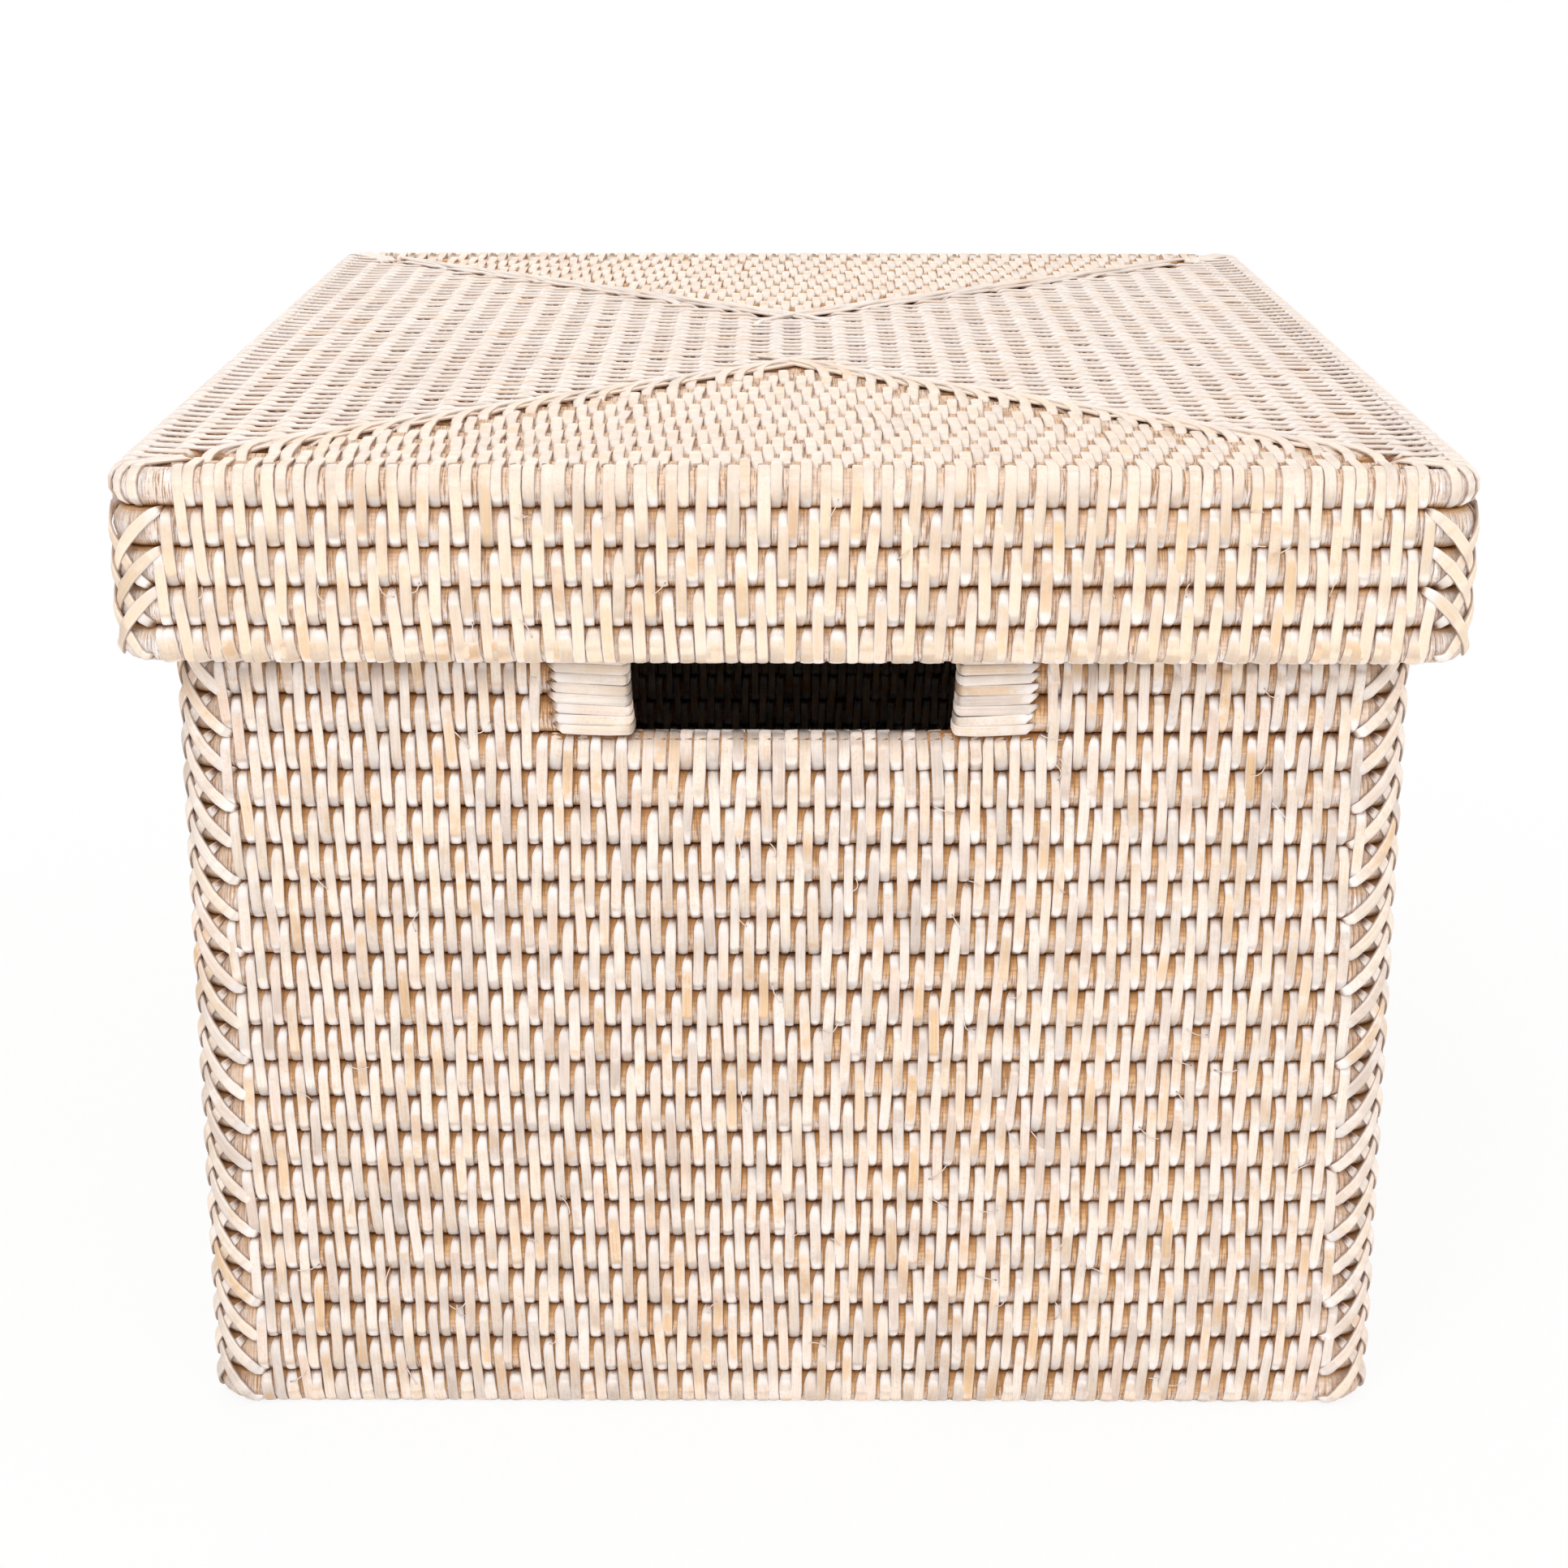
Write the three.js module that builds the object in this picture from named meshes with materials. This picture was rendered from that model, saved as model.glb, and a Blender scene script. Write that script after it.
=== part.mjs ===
// A lidded storage box of rattan rods lashed together with peel.
// Millimetres, +Z up. The origin is the middle of the underside, and the front faces -Y.
// Each course of a wall is one rod bent round the box. The lid and the floor are flat panels of
// rods whose ends meet along mitres. The lid lifts off along +Z.
import * as THREE from 'three';

// Driving dimensions of the box
const BODY_WIDTH = 315; // across the front, outside
const BODY_DEPTH = 413; // front to back, outside
const BODY_HEIGHT = 250; // from the underside to the lid's underside
const LID_HEIGHT = 50; // of the lid's edge and skirt
const LID_PLAY = 0.8; // free space between the lid's skirt and the body's corner lacing

// Rattan stock and how closely it is laid
const ROD_DIAMETER = 9;
const ROD_SPACING = 1; // left between two rods for the peel that is threaded through
const PEEL_THICKNESS = 0.8;
const CLEARANCE = 0.3; // between two pieces that touch
const BEND_INSIDE_RADIUS = 1.2; // inside a rod's bend at a corner
const BEND_STEPS = 3;
const ROUNDING_SHARE = 0.25; // of a rod's height, taken off each of its edges

// Hand-holes in the front and back walls
const HOLE_WIDTH = 84; // between the bound ends of the rods
const HOLE_HEIGHT = 30;
const GRIP_HEIGHT = 30; // of the whole courses above the hole
const JAMB_WRAP_REACH = 20; // along the cut rods, from the hole

// Peel bindings
const LACING_LEG = 14; // along each wall, beyond the corner's bend
const MITRE_BINDING_WIDTH = 9;
const MITRE_BINDING_THICKNESS = 1.2;
const MITRE_BINDING_EDGE = 2; // width of its sloping side

// Flat panels of rods
const GROOVE_DEPTH = 2.2; // between two rods of a panel
const CREST_SHARE = 0.5; // of a rod's width, the flat of its crest
const APEX_RELIEF = 2.2; // where two mitres run together

// Rods are laid in whole courses, so their pitch is the nearest that fills the wall
const bodyCourses = Math.round(BODY_HEIGHT / (ROD_DIAMETER + ROD_SPACING));
const rodPitch = BODY_HEIGHT / bodyCourses;
const lidCourses = Math.round(LID_HEIGHT / rodPitch);
const holeCourses = Math.round(HOLE_HEIGHT / rodPitch);
const sillCourse = bodyCourses - Math.round(GRIP_HEIGHT / rodPitch) - holeCourses;

// Sizes that follow
const wall = ROD_DIAMETER + 2 * PEEL_THICKNESS;
const courseHeight = rodPitch - CLEARANCE;
const rounding = ROUNDING_SHARE * courseHeight;
const bendOutsideRadius = BEND_INSIDE_RADIUS + wall;
const lacingStand = CLEARANCE + PEEL_THICKNESS;
const lidOverhang = wall + LID_PLAY + lacingStand;
const lidWidth = BODY_WIDTH + 2 * lidOverhang;
const lidDepth = BODY_DEPTH + 2 * lidOverhang;
const bodyTop = BODY_HEIGHT - CLEARANCE;
const lidTop = BODY_HEIGHT + wall;
const skirtBottom = lidTop - (lidCourses - 1) * rodPitch - courseHeight;
const rodEnd = HOLE_WIDTH / 2 + PEEL_THICKNESS + CLEARANCE;

// Finishes
const rodFinish = new THREE.MeshStandardMaterial({ color: 0xd8bc94, roughness: 0.7, metalness: 0 });
const peelFinish = new THREE.MeshStandardMaterial({ color: 0xf0e2cc, roughness: 0.6, metalness: 0 });

const box = new THREE.Group();
const body = new THREE.Group();
const lid = new THREE.Group();
box.add(body, lid);

function addPiece(group, name, geometry, finish) {
  const piece = new THREE.Mesh(geometry, finish);
  piece.name = name;
  group.add(piece);
  return piece;
}

// Points of a quarter bend round a centre, from one angle to the next, in quarter turns
function bend(centreX, centreY, radius, quarter, turn = 1) {
  const from = (quarter * Math.PI) / 2;
  const to = from + (turn * Math.PI) / 2;
  const arc = new THREE.EllipseCurve(centreX, centreY, radius, radius, from, to, turn < 0);
  return arc.getPoints(BEND_STEPS);
}

// A rectangle with rounded corners, anticlockwise from its right-hand front corner
function roundedRectangle(width, depth, radius) {
  const x = width / 2 - radius;
  const y = depth / 2 - radius;
  return [
    ...bend(x, -y, radius, -1),
    ...bend(x, y, radius, 0),
    ...bend(-x, y, radius, 1),
    ...bend(-x, -y, radius, 2),
  ];
}

// A rod lying along an outline seen from above, with its long edges taken off
function layRod(shape, bottom) {
  const geometry = new THREE.ExtrudeGeometry(shape, {
    depth: courseHeight - 2 * rounding,
    bevelThickness: rounding,
    bevelSize: rounding,
    bevelOffset: -rounding,
    bevelSegments: 1,
  });
  return geometry.translate(0, 0, bottom + rounding);
}

function ringRod(width, depth, bottom) {
  const shape = new THREE.Shape(roundedRectangle(width, depth, bendOutsideRadius));
  const inside = roundedRectangle(width - 2 * wall, depth - 2 * wall, BEND_INSIDE_RADIUS);
  shape.holes.push(new THREE.Path(inside));
  return layRod(shape, bottom);
}

// The right-hand half of a course that the hand-holes cut, from one hole round to the other
function cutRod(bottom) {
  const x = BODY_WIDTH / 2 - bendOutsideRadius;
  const y = BODY_DEPTH / 2 - bendOutsideRadius;
  const outerFace = BODY_DEPTH / 2;
  const innerFace = outerFace - wall;
  const shape = new THREE.Shape([
    new THREE.Vector2(rodEnd, -outerFace),
    ...bend(x, -y, bendOutsideRadius, -1),
    ...bend(x, y, bendOutsideRadius, 0),
    new THREE.Vector2(rodEnd, outerFace),
    new THREE.Vector2(rodEnd, innerFace),
    ...bend(x, y, BEND_INSIDE_RADIUS, 1, -1),
    ...bend(x, -y, BEND_INSIDE_RADIUS, 0, -1),
    new THREE.Vector2(rodEnd, -innerFace),
  ]);
  return layRod(shape, bottom);
}

function addBodyCourses() {
  for (let course = 1; course <= bodyCourses; course++) {
    const bottom = (course - 1) * rodPitch;
    const name = 'body_course_' + String(course).padStart(2, '0');
    const isCut = course > sillCourse && course <= sillCourse + holeCourses;
    if (isCut) {
      addPiece(body, name + '_right', cutRod(bottom), rodFinish);
      const left = addPiece(body, name + '_left', cutRod(bottom), rodFinish);
      left.rotation.z = Math.PI;
    } else {
      addPiece(body, name, ringRod(BODY_WIDTH, BODY_DEPTH, bottom), rodFinish);
    }
  }
}

// The lid's first course is the edge rod round its top, and the rest hang below it as the skirt
function addLidCourses() {
  for (let course = 1; course <= lidCourses; course++) {
    const bottom = lidTop - (course - 1) * rodPitch - courseHeight;
    addPiece(lid, 'lid_course_' + course, ringRod(lidWidth, lidDepth, bottom), rodFinish);
  }
}

// The section across a panel: rods side by side from the edge inwards, grooved on both faces
function panelSection(reach) {
  const rods = Math.round(reach / rodPitch);
  const width = reach / rods;
  const flatStart = (width * (1 - CREST_SHARE)) / 2;
  const top = [];
  const underside = [];
  for (let rod = 0; rod < rods; rod++) {
    const edge = rod * width;
    const grooveTop = rod === 0 ? wall - rounding : wall - GROOVE_DEPTH;
    const grooveUnder = rod === 0 ? rounding : GROOVE_DEPTH;
    top.push(new THREE.Vector2(edge, grooveTop));
    top.push(new THREE.Vector2(edge + flatStart, wall));
    top.push(new THREE.Vector2(edge + width - flatStart, wall));
    underside.push(new THREE.Vector2(edge, grooveUnder));
    underside.push(new THREE.Vector2(edge + flatStart, 0));
    underside.push(new THREE.Vector2(edge + width - flatStart, 0));
  }
  top.push(new THREE.Vector2(reach, wall - GROOVE_DEPTH));
  underside.push(new THREE.Vector2(reach, GROOVE_DEPTH));
  return new THREE.Shape([...underside, ...top.reverse()]);
}

// One mitred side of a panel. Its rods run along X, its outer edge lies at y = -edge, and its
// ends follow the mitres, cut short at the panel's corners to clear the bend of the edge rod.
function mitredSide(edge, halfLength, reach) {
  const section = panelSection(reach);
  const geometry = new THREE.ExtrudeGeometry(section, { depth: 1, bevelEnabled: false });
  const place = geometry.getAttribute('position');
  const mitreGap = CLEARANCE / Math.SQRT2;
  for (let i = 0; i < place.count; i++) {
    const inward = place.getX(i);
    const height = place.getY(i);
    const side = place.getZ(i) > 0 ? 1 : -1;
    const end = halfLength - Math.max(inward, BEND_INSIDE_RADIUS) - mitreGap;
    place.setXYZ(i, side * end, inward - edge, height);
  }
  geometry.computeVertexNormals();
  return geometry;
}

function addPanel(group, name, halfWidth, halfDepth, endReach, sideReach, bottom) {
  const sides = ['front', 'right', 'back', 'left'];
  sides.forEach((side, quarter) => {
    const isEnd = quarter % 2 === 0;
    const geometry = isEnd
      ? mitredSide(halfDepth, halfWidth, endReach)
      : mitredSide(halfWidth, halfDepth, sideReach);
    const piece = addPiece(group, name + '_' + side, geometry, rodFinish);
    piece.rotation.z = (quarter * Math.PI) / 2;
    piece.position.z = bottom;
  });
}

// The floor starts from one straight rod in the middle, and the other rods lie round it
function addFloor() {
  const halfWidth = BODY_WIDTH / 2 - wall - CLEARANCE;
  const halfDepth = BODY_DEPTH / 2 - wall - CLEARANCE;
  const spineHalf = rodPitch / 2;
  const endReach = halfWidth - spineHalf;
  addPanel(body, 'floor', halfWidth, halfDepth, endReach, endReach - CLEARANCE, 0);
  const half = spineHalf - rounding;
  const spine = new THREE.Shape([
    new THREE.Vector2(-half, 0),
    new THREE.Vector2(half, 0),
    new THREE.Vector2(spineHalf, rounding),
    new THREE.Vector2(spineHalf, wall - rounding),
    new THREE.Vector2(half, wall),
    new THREE.Vector2(-half, wall),
    new THREE.Vector2(-spineHalf, wall - rounding),
    new THREE.Vector2(-spineHalf, rounding),
  ]);
  const length = 2 * (halfDepth - endReach - CLEARANCE);
  const geometry = new THREE.ExtrudeGeometry(spine, { depth: length, bevelEnabled: false });
  geometry.rotateX(Math.PI / 2);
  geometry.translate(0, length / 2, 0);
  addPiece(body, 'floor_spine', geometry, rodFinish);
}

function addLidPanel() {
  const halfWidth = lidWidth / 2 - wall - CLEARANCE;
  const halfDepth = lidDepth / 2 - wall - CLEARANCE;
  const bottom = BODY_HEIGHT;
  const endReach = halfWidth - APEX_RELIEF;
  addPanel(lid, 'lid_top', halfWidth, halfDepth, endReach, halfWidth - CLEARANCE / 2, bottom);
}

// A peel binding on the lid's top: a low strip with sloping sides, along X from its start
function bindingStrip(length) {
  const half = MITRE_BINDING_WIDTH / 2;
  const section = new THREE.Shape([
    new THREE.Vector2(-half, 0),
    new THREE.Vector2(half, 0),
    new THREE.Vector2(half - MITRE_BINDING_EDGE, MITRE_BINDING_THICKNESS),
    new THREE.Vector2(MITRE_BINDING_EDGE - half, MITRE_BINDING_THICKNESS),
  ]);
  const geometry = new THREE.ExtrudeGeometry(section, { depth: length, bevelEnabled: false });
  return geometry.rotateX(Math.PI / 2).rotateZ(Math.PI / 2);
}

// One binding lies along each mitre, from the edge rod to the apex, and one along the ridge
function addMitreBindings() {
  const halfWidth = lidWidth / 2;
  const halfDepth = lidDepth / 2;
  const apex = halfDepth - halfWidth;
  const fromApex = MITRE_BINDING_WIDTH / 2 + CLEARANCE;
  const toCorner = (halfWidth - bendOutsideRadius) * Math.SQRT2 + BEND_INSIDE_RADIUS;
  const bottom = lidTop + CLEARANCE;
  const corners = ['front_right', 'back_right', 'back_left', 'front_left'];
  corners.forEach((corner, quarter) => {
    const direction = ((quarter - 0.5) * Math.PI) / 2;
    const name = 'lid_mitre_binding_' + corner;
    const strip = addPiece(lid, name, bindingStrip(toCorner - fromApex), peelFinish);
    const isFront = corner.startsWith('front');
    strip.rotation.z = direction;
    strip.position.set(0, isFront ? -apex : apex, bottom);
    strip.translateX(fromApex);
  });
  const ridgeLength = 2 * (apex - CLEARANCE);
  const ridge = addPiece(lid, 'lid_ridge_binding', bindingStrip(ridgeLength), peelFinish);
  ridge.rotation.z = Math.PI / 2;
  ridge.position.set(0, -ridgeLength / 2, bottom);
}

// The lacing over a corner's bend: a bent sheet of peel, standing just off the rods
function cornerLacing(height) {
  const inner = bendOutsideRadius + CLEARANCE;
  const outer = inner + PEEL_THICKNESS;
  const shape = new THREE.Shape([
    new THREE.Vector2(inner, -LACING_LEG),
    new THREE.Vector2(outer, -LACING_LEG),
    ...bend(0, 0, outer, 0),
    new THREE.Vector2(-LACING_LEG, outer),
    new THREE.Vector2(-LACING_LEG, inner),
    ...bend(0, 0, inner, 1, -1),
  ]);
  return new THREE.ExtrudeGeometry(shape, { depth: height, bevelEnabled: false });
}

function addCornerLacings(group, name, width, depth, bottom, top) {
  const x = width / 2 - bendOutsideRadius;
  const y = depth / 2 - bendOutsideRadius;
  const corners = [
    ['front_right', x, -y],
    ['back_right', x, y],
    ['back_left', -x, y],
    ['front_left', -x, -y],
  ];
  corners.forEach(([corner, centreX, centreY], quarter) => {
    const geometry = cornerLacing(top - bottom);
    const lacing = addPiece(group, name + '_corner_lacing_' + corner, geometry, peelFinish);
    lacing.position.set(centreX, centreY, bottom);
    lacing.rotation.z = ((quarter - 1) * Math.PI) / 2;
  });
}

// The binding over the cut rods beside a hand-hole: a channel that closes round their ends
function addJambWraps() {
  const edge = HOLE_WIDTH / 2;
  const end = edge + JAMB_WRAP_REACH;
  const outerFace = BODY_DEPTH / 2 + CLEARANCE;
  const innerFace = BODY_DEPTH / 2 - wall - CLEARANCE;
  const bottom = sillCourse * rodPitch;
  const shape = new THREE.Shape([
    new THREE.Vector2(edge, -outerFace - PEEL_THICKNESS),
    new THREE.Vector2(end, -outerFace - PEEL_THICKNESS),
    new THREE.Vector2(end, -outerFace),
    new THREE.Vector2(edge + PEEL_THICKNESS, -outerFace),
    new THREE.Vector2(edge + PEEL_THICKNESS, -innerFace),
    new THREE.Vector2(end, -innerFace),
    new THREE.Vector2(end, -innerFace + PEEL_THICKNESS),
    new THREE.Vector2(edge, -innerFace + PEEL_THICKNESS),
  ]);
  const height = holeCourses * rodPitch - CLEARANCE;
  for (const side of ['front_right', 'front_left', 'back_left', 'back_right']) {
    const geometry = new THREE.ExtrudeGeometry(shape, { depth: height, bevelEnabled: false });
    const isLeft = side.endsWith('left');
    const isBack = side.startsWith('back');
    const wrap = addPiece(body, 'hand_hole_binding_' + side, geometry, peelFinish);
    wrap.position.z = isLeft === isBack ? bottom : bottom + height;
    wrap.rotation.set(isLeft === isBack ? 0 : Math.PI, 0, isLeft ? Math.PI : 0);
  }
}

addBodyCourses();
addFloor();
const lacingBottom = rodPitch;
addCornerLacings(body, 'body', BODY_WIDTH, BODY_DEPTH, lacingBottom, bodyTop);
addJambWraps();
addLidCourses();
addLidPanel();
addCornerLacings(lid, 'lid', lidWidth, lidDepth, skirtBottom + rodPitch, lidTop);
addMitreBindings();

export default box;
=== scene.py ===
"""Woven lidded box: rods, peel stitches, lacings, bindings and the stage, laid out as an add-on"""
import math

import bmesh
import bpy
import numpy as np
from bpy.props import FloatProperty, FloatVectorProperty, PointerProperty
from bpy.types import Operator, Panel, PropertyGroup
from mathutils import Matrix, Vector, noise


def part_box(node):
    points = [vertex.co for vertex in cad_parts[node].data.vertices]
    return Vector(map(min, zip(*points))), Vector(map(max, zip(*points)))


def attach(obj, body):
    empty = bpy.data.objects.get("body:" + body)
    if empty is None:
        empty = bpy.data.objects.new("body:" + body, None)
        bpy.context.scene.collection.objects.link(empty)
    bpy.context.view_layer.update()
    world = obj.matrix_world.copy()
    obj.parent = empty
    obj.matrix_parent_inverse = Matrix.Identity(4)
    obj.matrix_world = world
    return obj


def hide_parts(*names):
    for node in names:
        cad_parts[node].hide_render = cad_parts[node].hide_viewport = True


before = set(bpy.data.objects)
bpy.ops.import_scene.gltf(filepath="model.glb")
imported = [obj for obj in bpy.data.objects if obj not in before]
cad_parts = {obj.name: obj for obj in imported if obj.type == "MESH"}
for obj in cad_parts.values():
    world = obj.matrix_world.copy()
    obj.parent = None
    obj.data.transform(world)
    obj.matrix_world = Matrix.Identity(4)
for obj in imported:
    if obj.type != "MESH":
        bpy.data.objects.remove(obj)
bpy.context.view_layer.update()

bl_info = {
    "name": "Woven Lidded Box",
    "version": (1, 0, 0),
    "blender": (4, 5, 0),
    "location": "View3D > Sidebar > Woven Box",
    "description": "Rods, peel stitches, lacings, bindings and stage of a woven box with a lift-off lid",
    "category": "Object",
}

MM = 0.001
FACES = ("front", "right", "back", "left")
ENDS = ("front", "back")
CORNERS = ("front_right", "back_right", "back_left", "front_left")


def paint(red, green, blue):
    """A screen colour, 0 to 255, as the linear colour that a shader takes"""
    shares = (red / 255, green / 255, blue / 255)
    return tuple(s / 12.92 if s <= 0.04045 else ((s + 0.055) / 1.055) ** 2.4 for s in shares)


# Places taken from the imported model


def node_box(name):
    low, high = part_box(name)
    return np.array(low), np.array(high)


def course_names(start):
    return sorted(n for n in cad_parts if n.startswith(start))


def centre_height(name):
    low, high = node_box(name)
    return float(low[2] + high[2]) / 2


def heights_down(names):
    """The heights of some courses from the top down"""
    return sorted({round(centre_height(n), 5) for n in names}, reverse=True)


BODY_RINGS = [n for n in course_names("body_course_") if n[-1].isdigit()]
BODY_HALVES = [n for n in course_names("body_course_") if not n[-1].isdigit()]
LID_RINGS = course_names("lid_course_")
# Half the width and half the depth of the body and of the lid
BODY_HALF = tuple(float(v) for v in node_box("body_course_02")[1][:2])
LID_HALF = tuple(float(v) for v in node_box("lid_course_2")[1][:2])
CUT_END = float(node_box(BODY_HALVES[1])[0][0])
BODY_HEIGHTS = heights_down(BODY_RINGS + BODY_HALVES)
CUT_HEIGHTS = heights_down(BODY_HALVES)
LID_HEIGHTS = heights_down(LID_RINGS)
SILL_HEIGHT = max(h for h in BODY_HEIGHTS if h < CUT_HEIGHTS[-1])
LINTEL_HEIGHT = min(h for h in BODY_HEIGHTS if h > CUT_HEIGHTS[0])
APEX = -float(node_box("lid_top_front")[1][1])
PANEL_RODS = {"lid_top": 16, "floor": 14}
# First seeds of the pieces' random numbers
BODY_SEED, SKIRT_SEED, EDGE_SEED = 11, 41, 61
PANEL_SEEDS = {"lid_top": 81, "floor": 121}
BODY_CORNER_SEED, HOLE_SEED, MITRE_SEED, LID_CORNER_SEED = 201, 301, 401, 501


def length(name, description, millimetres):
    """A size in the scene's own unit"""
    return FloatProperty(name=name, description=description, default=millimetres * MM, unit="LENGTH")


def tint(name, description, *levels):
    """A colour given as it looks on a screen"""
    return FloatVectorProperty(name=name, description=description, default=paint(*levels), subtype="COLOR")


class WeaveSizes(PropertyGroup):
    """Sizes of the rods and of the strips that lash them"""

    rod_diameter: length("Rod diameter", "Thickness of the round core", 9.0)
    wall: length("Wall", "A rod with the strips on both of its sides", 10.6)
    bend: length("Bend", "Radius of a rod's middle line at a corner", 6.5)
    waviness: length("Waviness", "How far a rod strays from straight", 0.25)
    strip_width: length("Strip width", "Width of a peel strip", 2.75)
    strip_thickness: length("Strip thickness", "Thickness of a peel strip", 0.7)
    body_spacing: length("Body spacing", "From one stitch to the next on the body", 6.7)
    lid_spacing: length("Lid spacing", "From one stitch to the next on the lid", 7.55)
    drift: length("Drift", "Step to the left from one row to the row below", 2.85)
    corner_reach: length("Corner reach", "From a corner to its nearest stitch", 12.0)
    wrap_height: length("Wrap height", "Height of one wrap at a hand-hole", 2.8)
    wrap_reach: length("Wrap reach", "Length of a wrap at a hand-hole", 20.4)


class WeaveColours(PropertyGroup):
    """Colours of the peel, the rods and the stage"""

    peel_cream: tint("Cream peel", "Most of the strips", 250, 230, 209)
    peel_pale: tint("Pale peel", "Strips with more wash on them", 251, 238, 226)
    peel_pink: tint("Pink peel", "Strips with a rosy cast", 248, 227, 212)
    peel_grey: tint("Grey peel", "Weathered strips and patches", 231, 214, 202)
    peel_tan: tint("Tan peel", "Strips and patches with little wash", 240, 201, 157)
    peel_warm: tint("Warm peel", "A cast over the lid's skirt and the short sides of its top", 254, 223, 184)
    peel_rose: tint("Rose peel", "Bare patches on a few strips", 233, 182, 142)
    wash: tint("Wash", "The white wash itself", 253, 245, 240)
    rod_light: tint("Light rod", "The crest of a rod", 237, 189, 131)
    # Also the colour of the painted shade on the rods' upper sides
    rod_dark: tint("Dark rod", "The grain of a rod", 187, 130, 74)
    # Dirt, and also the colour of painted shade: in the rods' grooves, at the strips' sunk ends, along their
    # edges and on the lid top's short sides
    dirt_and_shade: tint("Stain", "Dirt and shade in the grooves", 122, 70, 33)
    floor: tint("Floor", "The floor under the box", 250, 250, 250)


def sizes():
    return bpy.context.scene.weave_sizes


def colours():
    return bpy.context.scene.weave_colours


# Strips swept through space: small shapes that are then repeated


class Strip:
    """A swept strip as arrays, ready to be repeated"""

    def __init__(self, bm, across, along):
        bmesh.ops.recalc_face_normals(bm, faces=bm.faces)
        bm.verts.index_update()
        self.places = np.array([v.co for v in bm.verts])
        self.across = np.array([v[across] for v in bm.verts])
        self.along = np.array([v[along] for v in bm.verts])
        # Extrusion leaves the faces in an order that changes from run to run, so they are sorted
        faces = sorted(from_lowest([v.index for v in f.verts]) for f in bm.faces)
        self.corners = np.concatenate(faces)
        self.sizes = np.array([len(face) for face in faces])
        self.smooth = self.sizes == 4
        bm.free()


def from_lowest(loop):
    """The same loop of indices, from its lowest one on"""
    start = loop.index(min(loop))
    return loop[start:] + loop[:start]


def end_share(distance, total):
    """How far along a strip a point lies, 0 to 1, its two ends always marked over the same length"""
    usual, near = 17 * MM, 0.35
    if total <= usual:
        return distance / total
    if distance < near * usual:
        return distance / usual
    if total - distance < near * usual:
        return 1 - (total - distance) / usual
    return near + (1 - 2 * near) * (distance / usual - near) / (total / usual - 2 * near)


def sweep(points, normals, widths, thicknesses=None, plain=False):
    """Sweeps a flat section along points; each normal says which way the strip's face looks there"""
    bm = bmesh.new()
    across = bm.verts.layers.float.new("across")
    along = bm.verts.layers.float.new("along")
    made = bmesh.ops.create_grid(bm, x_segments=1, y_segments=1, size=0.5)
    if not plain:
        upper = [v for v in made["verts"] if v.co.y > 0]
        bmesh.ops.bevel(bm, geom=upper, offset=0.28, affect="VERTICES", segments=1, profile=0.5, material=-1)
    thicknesses = thicknesses or [sizes().strip_thickness] * len(points)
    stations = []
    count = len(points)
    for i in range(count):
        heading = (points[min(i + 1, count - 1)] - points[max(i - 1, 0)]).normalized()
        facing = Vector(normals[i])
        facing = (facing - heading * facing.dot(heading)).normalized()
        side = facing.cross(heading)
        turn = Matrix((side, facing, heading)).transposed().to_4x4()
        size = Matrix.Diagonal((widths[i], thicknesses[i], 1, 1))
        stations.append(Matrix.Translation(points[i]) @ turn @ size)
    distance = [0.0]
    for a, b in zip(points, points[1:]):
        distance.append(distance[-1] + (b - a).length)
    shares = [end_share(d, distance[-1]) for d in distance]
    for v in bm.verts:
        v[across] = v.co.x + 0.5
        v.co = stations[0] @ v.co
    face = bm.faces[:][0]
    for i in range(1, count):
        made = bmesh.ops.extrude_face_region(bm, geom=[face])
        face = next(g for g in made["geom"] if isinstance(g, bmesh.types.BMFace))
        move = stations[i] @ stations[i - 1].inverted()
        bmesh.ops.transform(bm, matrix=move, verts=face.verts)
        for v in face.verts:
            v[along] = shares[i]
    return Strip(bm, across, along)


def lay_strips(name, placed, body, *nodes):
    """Joins placed copies of strips, each (strip, matrix, tone), into one piece of peel"""
    places = np.vstack([strip.places @ matrix[:3, :3].T + matrix[:3, 3] for strip, matrix, _ in placed])
    bases = np.cumsum([0] + [len(strip.places) for strip, _, _ in placed])
    corners = np.concatenate([strip.corners + base for (strip, _, _), base in zip(placed, bases)])
    sides = np.concatenate([strip.sizes for strip, _, _ in placed])
    mesh = bpy.data.meshes.new(name)
    mesh.vertices.add(len(places))
    mesh.vertices.foreach_set("co", places.astype(np.float32).ravel())
    mesh.loops.add(len(corners))
    mesh.loops.foreach_set("vertex_index", corners.astype(np.int32))
    mesh.polygons.add(len(sides))
    starts = np.concatenate(([0], np.cumsum(sides)[:-1]))
    mesh.polygons.foreach_set("loop_start", starts.astype(np.int32))
    mesh.polygons.foreach_set("use_smooth", np.concatenate([strip.smooth for strip, _, _ in placed]))
    mesh.update(calc_edges=True)
    uvs = [np.stack((strip.across, strip.along), 1)[strip.corners] for strip, _, _ in placed]
    mesh.uv_layers.new(name="UVMap").data.foreach_set("uv", np.vstack(uvs).astype(np.float32).ravel())
    write_values(mesh, "tone", np.concatenate([np.full(len(strip.places), tone) for strip, _, tone in placed]))
    if mesh.validate():
        raise RuntimeError(f"the mesh of {name} wasn't sound")
    show(name, mesh, peel_finish(), body, "peel", *nodes)


def write_values(mesh, name, values):
    mesh.attributes.new(name, "FLOAT", "POINT").data.foreach_set("value", values.astype(np.float32))


def new_piece(name, mesh, finish):
    piece = bpy.data.objects.new(name, mesh)
    bpy.context.scene.collection.objects.link(piece)
    mesh.materials.clear()
    mesh.materials.append(finish)
    return piece


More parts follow.
